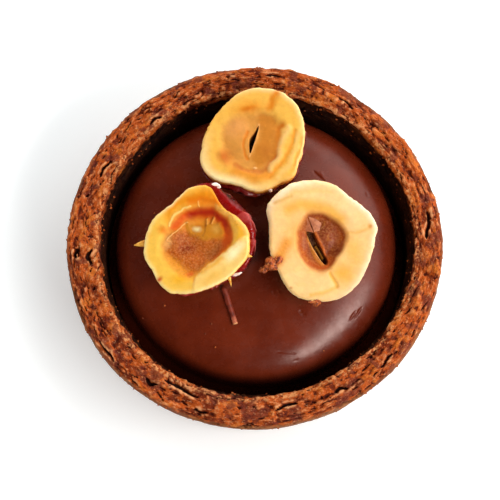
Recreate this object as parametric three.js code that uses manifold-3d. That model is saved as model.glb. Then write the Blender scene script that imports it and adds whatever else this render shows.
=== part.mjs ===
// A small round chocolate tart: a cocoa shortcrust shell, a domed chocolate filling and three
// halved hazelnuts pressed lightly into it. Millimetres, +Z up, origin under the middle of the base.

import * as THREE from "three";
import { mergeVertices } from "three/addons/utils/BufferGeometryUtils.js";
import Module from "manifold-3d";

const wasm = await Module();
wasm.setup();

// ---------------------------------------------------------------- driving dimensions
const RIM_RADIUS = 27.5; // the shell at its widest, just under the rim
const BASE_RADIUS = 24.0; // the shell where it stands
const SHELL_HEIGHT = 16.0; // table to rim, before the crags
const RIM_WIDTH = 4.1; // wall thickness at the rim
const WALL_FOOT = 22.3; // inner wall radius down at the floor
const SLOPE_FOOT = 22.55; // inner wall radius where its upper part stops sloping in from the rim
const WIDER_BY = 0.8; // the rim is this much wider on its wide side than on its narrow side
const NARROW_SIDE = 45; // degrees
const FLOOR_THICKNESS = 3.4;
const FIT_GAP = 0.3; // air between pieces that touch

const FILLING_TOP = SHELL_HEIGHT + 0.7; // top of the dome
const FILLING_EDGE = SHELL_HEIGHT - 4.8; // where the dome has rolled down to its upright side
const GAP_FLOOR = SHELL_HEIGHT - 7.8; // bottom of the gap where the filling shrank from the wall
const SLOPE_HEIGHT = FILLING_EDGE + 1.0;
const DOME_RADIUS = 20.9;
const DOME_SHIFT = 0.5; // how far the dome set towards the back
const DOME_FULLNESS = 2.8; // 2 is a plain ellipse, more is flatter on top and steeper at the edge

const CRAG_HEIGHT = 0.95; // highest to lowest point of the torn crumb on the rim
const WAVER = 0.22; // how far the rim strays from a true circle and a level edge

const SHELL_SEGMENTS = 160;
const FILLING_SEGMENTS = 72;
const NUT_SEGMENTS = 38;
const DENT_SEGMENTS = 20;

// ---------------------------------------------------------------- uneven surfaces
const fract = (x) => x - Math.floor(x);
const hash = (i, j, seed) => fract(Math.sin(i * 127.1 + j * 311.7 + seed * 74.7) * 43758.5453);
const ease = (t) => t * t * (3 - 2 * t);
const mix = (a, b, t) => a + (b - a) * t;
const clamp = (x, low, high) => Math.min(high, Math.max(low, x));

// Smooth lumps from 0 to 1 that repeat after `period` steps of u, so they close round the tart.
function lumps(u, v, period, seed) {
  const i = Math.floor(u);
  const j = Math.floor(v);
  const wrap = (n) => ((n % period) + period) % period;
  const across = ease(u - i);
  const near = mix(hash(wrap(i), j, seed), hash(wrap(i + 1), j, seed), across);
  const far = mix(hash(wrap(i), j + 1, seed), hash(wrap(i + 1), j + 1, seed), across);
  return mix(near, far, ease(v - j));
}

// Crumb is torn along the rim: each lump is about three times as long as it is wide.
function cragAt(angle, along) {
  const turn = angle / (2 * Math.PI);
  const coarse = lumps(turn * 34, along / 1.7, 34, 1) - 0.5;
  const middle = lumps(turn * 80, along / 0.9 + 7, 80, 2) - 0.5;
  return CRAG_HEIGHT * (0.6 * coarse + 0.4 * middle);
}

function rimWaver(angle) {
  return 0.45 * Math.sin(2 * angle + 0.6) + 0.35 * Math.sin(3 * angle + 2.1) + 0.2 * Math.sin(7 * angle);
}

// ---------------------------------------------------------------- helpers
// One closed body with shared corners and its faces pointing out.
function closedBody(geometry) {
  geometry.deleteAttribute("normal");
  geometry.deleteAttribute("uv");
  const merged = mergeVertices(geometry, 1e-4);
  const corner = merged.index.array;
  const position = merged.attributes.position;
  const a = new THREE.Vector3();
  const b = new THREE.Vector3();
  const c = new THREE.Vector3();
  let kept = [];
  let volume = 0;
  for (let i = 0; i < corner.length; i += 3) {
    const [p, q, r] = [corner[i], corner[i + 1], corner[i + 2]];
    if (p === q || q === r || r === p) continue;
    kept.push(p, q, r);
    a.fromBufferAttribute(position, p);
    b.fromBufferAttribute(position, q);
    c.fromBufferAttribute(position, r);
    volume += a.dot(b.cross(c)) / 6;
  }
  if (volume < 0) kept = kept.map((_, i) => kept[i - (i % 3) + (2 - (i % 3))]);
  merged.setIndex(kept);
  return merged;
}

function toSolid(geometry) {
  const vertProperties = Float32Array.from(geometry.attributes.position.array);
  const triVerts = Uint32Array.from(geometry.index.array);
  return new wasm.Manifold(new wasm.Mesh({ numProp: 3, vertProperties, triVerts }));
}

function toGeometry(solid) {
  const mesh = solid.getMesh();
  const geometry = new THREE.BufferGeometry();
  geometry.setAttribute("position", new THREE.BufferAttribute(Float32Array.from(mesh.vertProperties), 3));
  geometry.setIndex(Array.from(mesh.triVerts));
  return geometry;
}

// Moves every corner of a turned shape: `place` gets its angle, radius and height.
function reshape(geometry, place) {
  const position = geometry.attributes.position;
  for (let i = 0; i < position.count; i++) {
    const x = position.getX(i);
    const y = position.getY(i);
    const moved = place(Math.atan2(y, x), Math.hypot(x, y), position.getZ(i));
    position.setXYZ(i, moved.x, moved.y, moved.z);
  }
  return geometry;
}

// LatheGeometry turns about Y, so the result is stood up with its axis along Z.
function turned(profile, segments) {
  const points = profile.map(([radius, height]) => new THREE.Vector2(radius, height));
  return new THREE.LatheGeometry(points, segments).rotateX(Math.PI / 2);
}

const polar = (angle, radius, height) =>
  new THREE.Vector3(radius * Math.cos(angle), radius * Math.sin(angle), height);

// ---------------------------------------------------------------- the shell
const crustMaterial = new THREE.MeshStandardMaterial({ color: "#8a4a2b", roughness: 0.9, metalness: 0 });

const RIM_INSIDE = RIM_RADIUS - RIM_WIDTH;

// The room inside the shell lies a little off centre: how far its wall is moved in, by angle.
const offCentre = (angle) => (WIDER_BY * (1 - Math.cos(angle - (NARROW_SIDE * Math.PI) / 180))) / 2;

// How much of that each place of the shell takes up: none outside, all of it on the inner wall.
function innerShare(radius, height) {
  const within = radius < RIM_INSIDE + 0.1;
  if (within) return height > 2 ? Math.min(1, radius / (WALL_FOOT - 0.8)) : 0;
  if (height < SHELL_HEIGHT - 1) return 0;
  return clamp((RIM_RADIUS - 1.2 - radius) / (RIM_WIDTH - 1.2), 0, 1);
}

function shellProfile() {
  const top = SHELL_HEIGHT;
  const profile = [
    [0, 0],
    [BASE_RADIUS - 0.9, 0],
    [BASE_RADIUS - 0.2, 0.3],
    [BASE_RADIUS + 0.1, 1.1],
  ];
  const wallRows = 5;
  for (let row = 1; row <= wallRows; row++) {
    const t = row / wallRows;
    profile.push([mix(BASE_RADIUS + 0.1, RIM_RADIUS, t), mix(1.1, top - 1.4, t)]);
  }
  profile.push([RIM_RADIUS - 0.15, top - 0.75]);
  profile.push([RIM_RADIUS - 0.6, top - 0.25]);
  profile.push([RIM_RADIUS - 1.2, top]);
  profile.push([RIM_RADIUS - 1.9, top + 0.06]);
  profile.push([RIM_RADIUS - 2.6, top + 0.06]);
  profile.push([RIM_RADIUS - 3.3, top]);
  profile.push([RIM_INSIDE + 0.2, top - 0.2]);
  profile.push([RIM_INSIDE, top - 0.7]);
  const slopeRows = 3;
  for (let row = 1; row <= slopeRows; row++) {
    const t = row / slopeRows;
    profile.push([mix(RIM_INSIDE, SLOPE_FOOT, t), mix(top - 0.7, SLOPE_HEIGHT, t)]);
  }
  profile.push([WALL_FOOT, FLOOR_THICKNESS + 0.8]);
  profile.push([WALL_FOOT - 0.8, FLOOR_THICKNESS]);
  profile.push([0, FLOOR_THICKNESS]);
  return profile;
}

// How freely the crumb is torn at each place of the shell: all of it on the rim, least where the
// tin and the filling keep it smooth, none on the base it stands on.
function tornness(radius, height) {
  if (height < 1.2) return 0;
  if (radius > RIM_INSIDE + 0.1 && height > SHELL_HEIGHT - 1) return 1;
  if (radius < RIM_INSIDE + 0.1) return 0.55 * clamp((height - FILLING_EDGE) / 2, 0, 1);
  return 0.3;
}

function makeShell() {
  const middle = RIM_RADIUS - RIM_WIDTH / 2;
  const torn = reshape(turned(shellProfile(), SHELL_SEGMENTS), (angle, radius, height) => {
    const free = tornness(radius, height);
    const along = radius < RIM_INSIDE + 0.1 ? SHELL_HEIGHT - height : radius;
    const crag = free * cragAt(angle, along);
    const lift = clamp((height - SHELL_HEIGHT / 2) / (SHELL_HEIGHT / 2), 0, 1);
    const waver = WAVER * rimWaver(angle) * lift;
    const onTop = radius > RIM_INSIDE + 0.1 && height > SHELL_HEIGHT - 1 ? 1 : 0;
    const outward = (radius > middle ? 1 : -1) * (onTop ? 0.35 : 1);
    const inward = offCentre(angle) * innerShare(radius, height);
    return polar(angle, radius + outward * crag + waver - inward, height + onTop * crag + waver);
  });
  return closedBody(torn);
}

// ---------------------------------------------------------------- a halved hazelnut
// Each half lies face up. `outline` is the radius of the cut face every 30 degrees, counted from
// the nut's own +X. Angles are degrees, `lean` is how far the face tips and `towards` where to.
const NUTS = {
  nut_top: {
    at: [0.0, 14.6, SHELL_HEIGHT + 5.0],
    lean: 4,
    towards: 100,
    outline: [7.1, 8.0, 8.5, 8.4, 7.4, 7.0, 7.7, 8.6, 7.7, 7.9, 8.0, 7.5],
    thickness: 7.0,
    bulge: { by: 0.3, towards: 265, spread: 80 },
    hollow: { at: [-0.4, -0.3], size: [4.2, 4.7], depth: 0.75, wall: 0.75 },
    slit: { from: [0.55, 2.3], to: [-0.65, -2.0], width: 0.95, depth: 2.6 },
    skin: true,
  },
  nut_left: {
    at: [-8.7, -1.05, SHELL_HEIGHT + 5.0],
    lean: 18,
    towards: 225,
    outline: [8.0, 7.3, 6.9, 8.0, 7.0, 7.4, 8.0, 8.3, 8.2, 7.4, 7.1, 7.6],
    thickness: 6.8,
    bulge: { by: 2.3, towards: 48, spread: 75 },
    hollow: { at: [0.5, 0.4], size: [5.2, 5.4], depth: 2.3, wall: 0.6 },
    skin: true,
  },
  nut_right: {
    at: [9.9, -0.7, SHELL_HEIGHT + 5.4],
    lean: 15,
    towards: -70,
    outline: [7.8, 8.2, 7.8, 8.2, 9.0, 8.5, 7.4, 7.4, 8.8, 9.0, 8.6, 7.6],
    thickness: 7.0,
    bulge: { by: 0.8, towards: 125, spread: 90 },
    hollow: { at: [0.1, -0.3], size: [3.6, 4.2], depth: 1.9, wall: 0.55 },
    slit: { from: [-2.4, 1.2], to: [0.8, -3.5], width: 1.1, depth: 3.4 },
    skin: false,
  },
};

const radians = THREE.MathUtils.degToRad;

// A smooth closed line through the twelve radii.
function outlineAt(radii, angle) {
  const place = (fract(angle / (2 * Math.PI)) * radii.length) % radii.length;
  const i = Math.floor(place);
  const t = place - i;
  const at = (n) => radii[(i + n + radii.length) % radii.length];
  const straight = at(1) - at(-1);
  const bend = 2 * at(-1) - 5 * at(0) + 4 * at(1) - at(2);
  const twist = 3 * (at(0) - at(1)) + at(2) - at(-1);
  return at(0) + 0.5 * t * (straight + t * (bend + t * twist));
}

// Share of the outline and depth below the cut face, from the face's middle round to the underside.
const EDGE_DEPTH = 0.8;
const FACE_SHARES = [0, 0.14, 0.27, 0.39, 0.5, 0.6, 0.7, 0.8, 0.89, 0.95];

function nutProfile(thickness, faceShares, bodyRows) {
  const profile = faceShares.map((share) => [share, 0]);
  profile.push([0.99, -0.25]);
  profile.push([1.0, -EDGE_DEPTH]);
  for (let row = 1; row < bodyRows; row++) {
    const turn = (row / bodyRows) * (Math.PI / 2);
    const depth = EDGE_DEPTH + (thickness - EDGE_DEPTH) * Math.sin(turn) ** 1.15;
    profile.push([Math.cos(turn) ** 0.8, -depth]);
  }
  profile.push([0, -thickness]);
  return profile;
}

function bulgeAt(nut, angle, depth) {
  const { by, towards, spread } = nut.bulge;
  const away = Math.abs(((THREE.MathUtils.radToDeg(angle) - towards + 540) % 360) - 180);
  const facing = ease(clamp(1 - away / spread, 0, 1));
  const swell = Math.sin(Math.PI * clamp(depth / (nut.thickness * 0.9), 0, 1) ** 0.6);
  return by * facing * swell;
}

// The face is a raised rim round a hollow: a gentle fall outside, a firmer wall near the hollow.
function faceHeight(nut, x, y) {
  const { at, size, depth, wall } = nut.hollow;
  const reach = Math.hypot((x - at[0]) / size[0], (y - at[1]) / size[1]);
  const bowl = 1 - ease(clamp((reach - wall) / (1.15 - wall), 0, 1));
  return -depth * bowl - 0.06 * Math.cos(3 * Math.atan2(y, x) + nut.lean);
}

function nutBody(nut) {
  const shape = turned(nutProfile(nut.thickness, FACE_SHARES, 6), NUT_SEGMENTS);
  reshape(shape, (angle, share, height) => {
    const onFace = height > -0.01;
    const bulge = onFace ? 0 : bulgeAt(nut, angle, -height);
    const point = polar(angle, share * outlineAt(nut.outline, angle) + bulge, height);
    if (onFace) point.z = faceHeight(nut, point.x, point.y);
    return point;
  });
  return closedBody(shape);
}

// The nut's own body with a flat lid, grown all round by the gap that its dent keeps.
function dentCutter(nut) {
  const grown = FIT_GAP + 0.1;
  const shape = turned(nutProfile(nut.thickness, [0, 0.95], 6), DENT_SEGMENTS);
  reshape(shape, (angle, share, height) => {
    const radius = share * outlineAt(nut.outline, angle) + bulgeAt(nut, angle, -height);
    return polar(angle, share > 0 ? radius + grown : 0, height - grown * clamp(-height / 3, 0, 1));
  });
  return closedBody(shape).applyMatrix4(nutPlace(nut));
}

// Where a nut sits: leaned towards its own side, then set in place.
function nutPlace(nut) {
  const lean = radians(nut.lean);
  const towards = radians(nut.towards);
  const up = new THREE.Vector3(
    Math.sin(lean) * Math.cos(towards),
    Math.sin(lean) * Math.sin(towards),
    Math.cos(lean),
  );
  const turn = new THREE.Quaternion().setFromUnitVectors(new THREE.Vector3(0, 0, 1), up);
  return new THREE.Matrix4().compose(new THREE.Vector3(...nut.at), turn, new THREE.Vector3(1, 1, 1));
}

// The gap between the two seed leaves: a thin lens that narrows downwards.
function slitCutter({ from, to, width, depth }) {
  const run = new THREE.Vector2(to[0] - from[0], to[1] - from[1]);
  const half = run.length() / 2;
  const lens = new THREE.Shape();
  lens.moveTo(-half, 0);
  lens.quadraticCurveTo(0, width, half, 0);
  lens.quadraticCurveTo(0, -width, -half, 0);
  const cutter = new THREE.ExtrudeGeometry(lens, { depth: depth + 1, bevelEnabled: false, curveSegments: 7 });
  cutter.translate(0, 0, -depth);
  cutter.rotateZ(run.angle());
  cutter.translate((from[0] + to[0]) / 2, (from[1] + to[1]) / 2, 0);
  return toSolid(closedBody(cutter));
}

// A broken crumb: a small ball with uneven corners, stretched to its size.
function crumb({ at, size, turn, seed }) {
  const ball = new THREE.IcosahedronGeometry(1, 1);
  const shape = closedBody(ball);
  const position = shape.attributes.position;
  for (let i = 0; i < position.count; i++) {
    const rough = 0.8 + 0.4 * hash(i, seed, 3);
    position.setXYZ(i, position.getX(i) * rough, position.getY(i) * rough, position.getZ(i) * rough);
  }
  shape.scale(size[0] / 2, size[1] / 2, size[2] / 2).rotateZ(radians(turn)).translate(...at);
  return toSolid(shape);
}

const CRUMBS = {
  nut_left: [{ at: [-8.2, 0.1, -0.9], size: [2.6, 1.1, 0.9], turn: 8, seed: 4 }],
  nut_right: [
    { at: [-7.8, -3.8, -0.9], size: [3.6, 2.5, 1.9], turn: 12, seed: 7 },
    { at: [-0.8, -8.9, -0.9], size: [2.0, 1.6, 1.2], turn: 0, seed: 9 },
  ],
};

function makeNut(name) {
  const nut = NUTS[name];
  let solid = toSolid(nutBody(nut));
  if (nut.slit) solid = solid.subtract(slitCutter(nut.slit));
  for (const bit of CRUMBS[name] ?? []) solid = solid.add(crumb(bit));
  return toGeometry(solid).applyMatrix4(nutPlace(nut));
}

// ---------------------------------------------------------------- the filling
const DOME_RISE = FILLING_TOP - FILLING_EDGE;

function domeHeight(radius) {
  const share = clamp(radius / DOME_RADIUS, 0, 1);
  return FILLING_EDGE + DOME_RISE * Math.sqrt(1 - share ** DOME_FULLNESS);
}

function fillingProfile() {
  const bottom = FLOOR_THICKNESS + FIT_GAP;
  const profile = [
    [0, bottom],
    [WALL_FOOT - 1.3, bottom],
    [WALL_FOOT - FIT_GAP - 0.1, bottom + 1.1],
    [SLOPE_FOOT - FIT_GAP - 0.2, GAP_FLOOR - 0.4],
    [DOME_RADIUS + 0.2, GAP_FLOOR],
  ];
  const domeShares = [0.998, 0.985, 0.955, 0.91, 0.85, 0.76, 0.64, 0.48, 0.26];
  for (const share of domeShares) profile.push([DOME_RADIUS * share, domeHeight(DOME_RADIUS * share)]);
  profile.push([0, FILLING_TOP]);
  return profile;
}

// A sliver of chocolate that lies on the dome and points out from under the left nut.
const SLIVER = { from: [-4.7, -6.0], to: [-2.75, -12.1], width: 1.15, tip: 0.9 };

function makeSliver() {
  const start = new THREE.Vector3(...SLIVER.from, 0);
  const end = new THREE.Vector3(...SLIVER.to, 0);
  start.z = domeHeight(Math.hypot(start.x, start.y - DOME_SHIFT)) + 0.2;
  end.z = domeHeight(Math.hypot(end.x, end.y - DOME_SHIFT)) + 0.25;
  const run = end.clone().sub(start);
  const stick = new THREE.CylinderGeometry(SLIVER.tip / 2, SLIVER.width / 2, run.length(), 8, 3);
  stick.applyQuaternion(new THREE.Quaternion().setFromUnitVectors(new THREE.Vector3(0, 1, 0), run.normalize()));
  stick.translate(...start.add(end).multiplyScalar(0.5));
  return toSolid(closedBody(stick));
}

function makeFilling() {
  const poured = reshape(turned(fillingProfile(), FILLING_SEGMENTS), (angle, radius, height) => {
    const point = polar(angle, radius - offCentre(angle) * (radius / SLOPE_FOOT) ** 2, height);
    if (height > GAP_FLOOR - 0.1) point.y += DOME_SHIFT;
    return point;
  });
  let solid = toSolid(closedBody(poured));
  solid = solid.add(makeSliver());
  for (const nut of Object.values(NUTS)) solid = solid.subtract(toSolid(dentCutter(nut)));
  return toGeometry(solid);
}

const fillingMaterial = new THREE.MeshStandardMaterial({ color: "#54251a", roughness: 0.35, metalness: 0 });
const toastedNut = new THREE.MeshStandardMaterial({ color: "#e8b45a", roughness: 0.45, metalness: 0 });
const blanchedNut = new THREE.MeshStandardMaterial({ color: "#f3d79a", roughness: 0.5, metalness: 0 });

// ---------------------------------------------------------------- the tart
function piece(name, geometry, material) {
  const mesh = new THREE.Mesh(geometry, material);
  mesh.name = name;
  return mesh;
}

const tart = new THREE.Group();
tart.add(piece("crust", makeShell(), crustMaterial));
tart.add(piece("filling", makeFilling(), fillingMaterial));
for (const name of Object.keys(NUTS)) {
  tart.add(piece(name, makeNut(name), NUTS[name].skin ? toastedNut : blanchedNut));
}

export default tart;
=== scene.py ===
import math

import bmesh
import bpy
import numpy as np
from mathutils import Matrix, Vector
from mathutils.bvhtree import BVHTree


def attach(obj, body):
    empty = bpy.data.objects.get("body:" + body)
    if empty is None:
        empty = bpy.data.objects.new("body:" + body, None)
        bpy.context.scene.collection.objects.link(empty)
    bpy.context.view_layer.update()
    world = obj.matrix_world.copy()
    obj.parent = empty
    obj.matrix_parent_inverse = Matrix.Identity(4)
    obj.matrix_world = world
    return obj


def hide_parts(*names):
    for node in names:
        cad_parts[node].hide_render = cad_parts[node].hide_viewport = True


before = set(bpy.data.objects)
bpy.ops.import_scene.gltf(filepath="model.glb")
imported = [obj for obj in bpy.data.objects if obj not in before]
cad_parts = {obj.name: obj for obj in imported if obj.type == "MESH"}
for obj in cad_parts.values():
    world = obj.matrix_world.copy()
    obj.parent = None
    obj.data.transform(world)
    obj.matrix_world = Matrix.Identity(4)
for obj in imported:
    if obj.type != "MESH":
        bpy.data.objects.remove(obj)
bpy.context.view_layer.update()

# %% [markdown]
# # A small chocolate tart
# The real thing is a cocoa shortcrust shell about as wide as an egg is long, filled with set
# chocolate that stands up in a low dome, with three halved hazelnuts pressed into it. The packed
# model gives the size and place of each of those five solids. This file gives each of them the
# surface that the eye expects: torn crumb, satin chocolate, waxy nut and papery red skin.
# Lengths are in millimetres until the moment a mesh is made, because a baker thinks in them.

BODY = "root"
MM = 0.001

# %% [markdown]
# ## Uneven surfaces
# Baked crumb, set chocolate and roasted nut are all uneven, but each in its own way. One recipe
# serves them all: random heights on a grid, smoothly blended between the grid's corners. It could
# be a texture, but a texture only shades the surface. Here the heights move the mesh itself, so
# the outline and the shadows are rough too. The random numbers come from a formula, so every run
# gives the same tart.

# %% Smooth random heights


def fract(x):
    return x - np.floor(x)


def ease(t):
    return t * t * (3 - 2 * t)


def mix(a, b, t):
    return a + (b - a) * t


def clamp(x, low=0.0, high=1.0):
    return np.minimum(high, np.maximum(low, x))


def chance(i, j, seed, k=0):
    return fract(np.sin(i * 127.1 + j * 311.7 + seed * 74.7 + k * 269.5) * 43758.5453)


def lumps(u, v, period, seed):
    """Smooth lumps from 0 to 1 that repeat after `period` steps of u, to close round the tart."""
    i, j = np.floor(u), np.floor(v)
    across = ease(u - i)
    near = mix(chance(i % period, j, seed), chance((i + 1) % period, j, seed), across)
    far = mix(chance(i % period, j + 1, seed), chance((i + 1) % period, j + 1, seed), across)
    return mix(near, far, ease(v - j))


def ring_lumps(turn, count, along, seed):
    """Smooth lumps, `count` of them round the tart; `turn` goes from 0 to 1 once round."""
    return lumps(turn * count, along, count, seed)


def cloud(points, size, seed):
    """Smooth lumps from 0 to 1 in space; `size` is how wide a lump is, in the points' own units."""
    p = points / size + 50.0
    cell = np.floor(p)
    t = ease(p - cell)
    total = 0.0
    for corner in range(8):
        step = [(corner >> axis) & 1 for axis in range(3)]
        weight = 1.0
        for axis in range(3):
            weight = weight * (t[..., axis] if step[axis] else 1 - t[..., axis])
        i, j, k = (cell[..., axis] + step[axis] for axis in range(3))
        total = total + weight * chance(i, j, seed, k)
    return total


print("three corners of the random grid:", [round(float(chance(i, 2, 1)), 3) for i in range(3)])

# %% [markdown]
# ## From a grid of points to a solid
# Nearly everything here is round, so nearly every piece is a grid: rows run from one end of the
# piece to the other, and columns go round it. Turning a profile with the Screw modifier would give
# the same grid, but then each point could not be moved by its own formula. The first and last rows
# shrink to a point, which closes the mesh without any hole.

# %% Mesh helpers


def round_faces(rows, columns):
    """Faces of a closed round grid; the first and the last point are its two ends."""
    ring = np.arange(columns)
    ahead = (ring + 1) % columns
    first = [(0, 1 + a, 1 + b) for a, b in zip(ring, ahead)]
    faces = []
    for row in range(rows - 1):
        here, below = 1 + row * columns, 1 + (row + 1) * columns
        faces += [(here + a, below + a, below + b, here + b) for a, b in zip(ring, ahead)]
    start, end = 1 + (rows - 1) * columns, 1 + rows * columns
    last = [(end, start + b, start + a) for a, b in zip(ring, ahead)]
    return first + faces + last


def turned_over(faces):
    """The same faces seen from the other side, for a grid that would come out inside out."""
    return [face[::-1] for face in faces]


def turned(radius, angle, height):
    """A grid of points at these radii, angles and heights; what is missing in a row or column repeats."""
    return np.stack(np.broadcast_arrays(radius * np.cos(angle), radius * np.sin(angle), height), axis=2)


def round_points(grid, first, last):
    """Grid points in the order that round_faces counts them."""
    return np.vstack([[first], grid.reshape(-1, grid.shape[-1]), [last]])


def with_ends(grid, first=0, last=0):
    """A layer's values in the order of round_points, with a value for each of the two ends."""
    return np.concatenate([[first], grid.ravel(), [last]])


def make_piece(name, points, faces, material, slot, node, layers=None):
    """One visible piece: its points in millimetres, its finish, and the solid it stands for."""
    mesh = bpy.data.meshes.new(name)
    mesh.from_pydata((np.asarray(points) * MM).tolist(), [], [tuple(map(int, f)) for f in faces])
    for layer, values in (layers or {}).items():
        kind, key = ("FLOAT", "value") if np.ndim(values) == 1 else ("FLOAT_VECTOR", "vector")
        mesh.attributes.new(layer, kind, "POINT").data.foreach_set(key, np.ravel(values))
    mesh.polygons.foreach_set("use_smooth", [True] * len(mesh.polygons))
    mesh.update()
    piece = bpy.data.objects.new(name, mesh)
    bpy.context.scene.collection.objects.link(piece)
    mesh.materials.append(material)
    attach(piece, BODY)
    if node:
        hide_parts(node)
    solid = bmesh.new()
    solid.from_mesh(mesh)
    volume = solid.calc_volume(signed=True) / MM**3
    solid.free()
    print(f"{name}: {len(mesh.polygons)} faces round {volume:.2f} cubic mm")
    return piece


# %% [markdown]
# ## Mixing colours
# Colours are written as they look on a screen and turned into the linear values that light works
# in. A finish is a short chain of nodes. Each chain starts from a base colour and lays others over
# it, and what decides where they lie is either a noise or a layer of numbers that the mesh carries.

# %% Colour and node helpers


def ink(red, green, blue):
    """A colour as seen, 0 to 255, as the linear colour that Blender mixes."""
    seen = np.array([red, green, blue]) / 255
    linear = np.where(seen <= 0.04045, seen / 12.92, ((seen + 0.055) / 1.055) ** 2.4)
    return (*linear.tolist(), 1.0)


class Nodes:
    """Adds nodes to a tree. What goes into a socket is a plain value or another node's output."""

    def __init__(self, tree):
        self.nodes, self.links = tree.nodes, tree.links

    def feed(self, socket, value):
        if isinstance(value, bpy.types.NodeSocket):
            self.links.new(value, socket)
        else:
            socket.default_value = value

    def add(self, kind, output, inputs, **settings):
        node = self.nodes.new("ShaderNode" + kind)
        for setting, value in settings.items():
            setattr(node, setting, value)
        for socket, value in inputs.items():
            self.feed(node.inputs[socket], value)
        return node.outputs[output]

    def range(self, value, low, high, to_low=0.0, to_high=1.0, smooth=True):
        """Draws the part of a value from `low` to `high` out to `to_low` to `to_high`."""
        bounds = {"Value": value, "From Min": low, "From Max": high, "To Min": to_low, "To Max": to_high}
        return self.add("MapRange", "Result", bounds, interpolation_type="SMOOTHSTEP" if smooth else "LINEAR")

    def times(self, a, b):
        return self.add("Math", "Value", {0: a, 1: b}, operation="MULTIPLY")


# Where a Mix node keeps its share and its colour sockets, among those for other kinds of value.
MIX_SHARE, MIX_BELOW, MIX_OVER, MIX_RESULT = 0, 6, 7, 2


class Finish(Nodes):
    """A procedural material, built one layer of colour at a time."""

    def __init__(self, name, roughness, specular):
        self.material = bpy.data.materials.new(name)
        self.material.use_nodes = True
        super().__init__(self.material.node_tree)
        self.sockets = self.nodes["Principled BSDF"].inputs
        self.sockets["Roughness"].default_value = roughness
        self.sockets["Specular IOR Level"].default_value = specular
        self.place = self.add("TexCoord", "Object", {})
        self.bump = None

    def noise(self, size_mm, detail=4.0, rough=0.55, stretch=(1, 1, 1), place=None):
        spread = self.add("Mapping", "Vector", {"Scale": stretch, "Vector": place or self.place})
        inputs = {"Scale": 1 / (size_mm * MM), "Detail": detail, "Roughness": rough, "Vector": spread}
        return self.add("TexNoise", "Fac", inputs)

    def layer(self, name, output="Fac"):
        """What the mesh carries under this name."""
        return self.add("Attribute", output, {}, attribute_name=name)

    def shade(self, colour, value, low, high):
        """Makes a colour darker or lighter, by `low` where the value is 0 and by `high` where it is 1."""
        inputs = {"Value": self.range(value, 0.0, 1.0, low, high), "Color": colour}
        return self.add("HueSaturation", "Color", inputs)

    def over(self, below, colour, where):
        """Lays a colour over another wherever `where` is 1."""
        inputs = {MIX_SHARE: where, MIX_BELOW: below, MIX_OVER: ink(*colour)}
        return self.add("Mix", MIX_RESULT, inputs, data_type="RGBA")

    def tint(self, below, colour, value, low, high, share=1.0):
        """Lays a colour over another as `value` goes from `low` to `high`, at most by `share`."""
        return self.over(below, colour, self.range(value, low, high, 0.0, share))

    def tints(self, below, *layers):
        """Several tints, one over the other."""
        for colour, value, low, high, share in layers:
            below = self.tint(below, colour, value, low, high, share)
        return below

    def colour(self, value):
        self.feed(self.sockets["Base Color"], value)

    def roughness(self, value, low, high, to_low, to_high):
        self.feed(self.sockets["Roughness"], self.range(value, low, high, to_low, to_high))

    def relief(self, height, depth_mm, strength):
        inputs = {"Distance": depth_mm * MM, "Strength": strength, "Height": height}
        if self.bump:
            inputs["Normal"] = self.bump
        self.bump = self.add("Bump", "Normal", inputs)
        self.feed(self.sockets["Normal"], self.bump)


print("cocoa brown in linear light:", [round(c, 3) for c in ink(138, 74, 43)])

# %% [markdown]
# ## The shell
# A tart shell is pressed into a round tin, baked, and turned out. The wall that touched the tin
# comes out fairly smooth, and the rim, where the dough was trimmed, is torn crumb with cracks that
# run round the tart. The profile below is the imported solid's own, only with more points.

# %% Sizes of the shell
RIM_RADIUS = 27.5
BASE_RADIUS = 24.0
SHELL_HEIGHT = 16.0
RIM_WIDTH = 4.1
WALL_FOOT = 22.3
SLOPE_FOOT = 22.55
WIDER_BY = 0.8
NARROW_SIDE = math.radians(45)
FLOOR_THICKNESS = 3.4
RIM_INSIDE = RIM_RADIUS - RIM_WIDTH
CRAG_HEIGHT = 0.95
WAVER = 0.22
SHELL_COLUMNS = 840
FILLING_EDGE = SHELL_HEIGHT - 4.8
SLOPE_HEIGHT = FILLING_EDGE + 1.0


def off_centre(angle):
    """How far the room inside the shell is moved in, by angle: its rim is wider on one side."""
    return WIDER_BY * (1 - np.cos(angle - NARROW_SIDE)) / 2


def shell_profile():
    """Radius, height and the spacing wanted up to the next corner, from base centre to floor centre."""
    top = SHELL_HEIGHT
    return [
        (0.0, 0.0, 4.0),
        (BASE_RADIUS - 0.9, 0.0, 0.4),
        (BASE_RADIUS - 0.2, 0.3, 0.4),
        (BASE_RADIUS + 0.1, 1.1, 0.42),
        (RIM_RADIUS, top - 1.4, 0.2),
        (RIM_RADIUS - 0.15, top - 0.75, 0.17),
        (RIM_RADIUS - 0.6, top - 0.25, 0.16),
        (RIM_RADIUS - 1.2, top, 0.16),
        (RIM_RADIUS - 1.9, top + 0.06, 0.16),
        (RIM_RADIUS - 2.6, top + 0.06, 0.16),
        (RIM_RADIUS - 3.3, top, 0.16),
        (RIM_INSIDE + 0.2, top - 0.2, 0.16),
        (RIM_INSIDE, top - 0.7, 0.22),
        (SLOPE_FOOT, SLOPE_HEIGHT, 1.6),
        (WALL_FOOT, FLOOR_THICKNESS + 0.8, 0.8),
        (WALL_FOOT - 0.8, FLOOR_THICKNESS, 5.0),
        (0.0, FLOOR_THICKNESS, 5.0),
    ]


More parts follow.
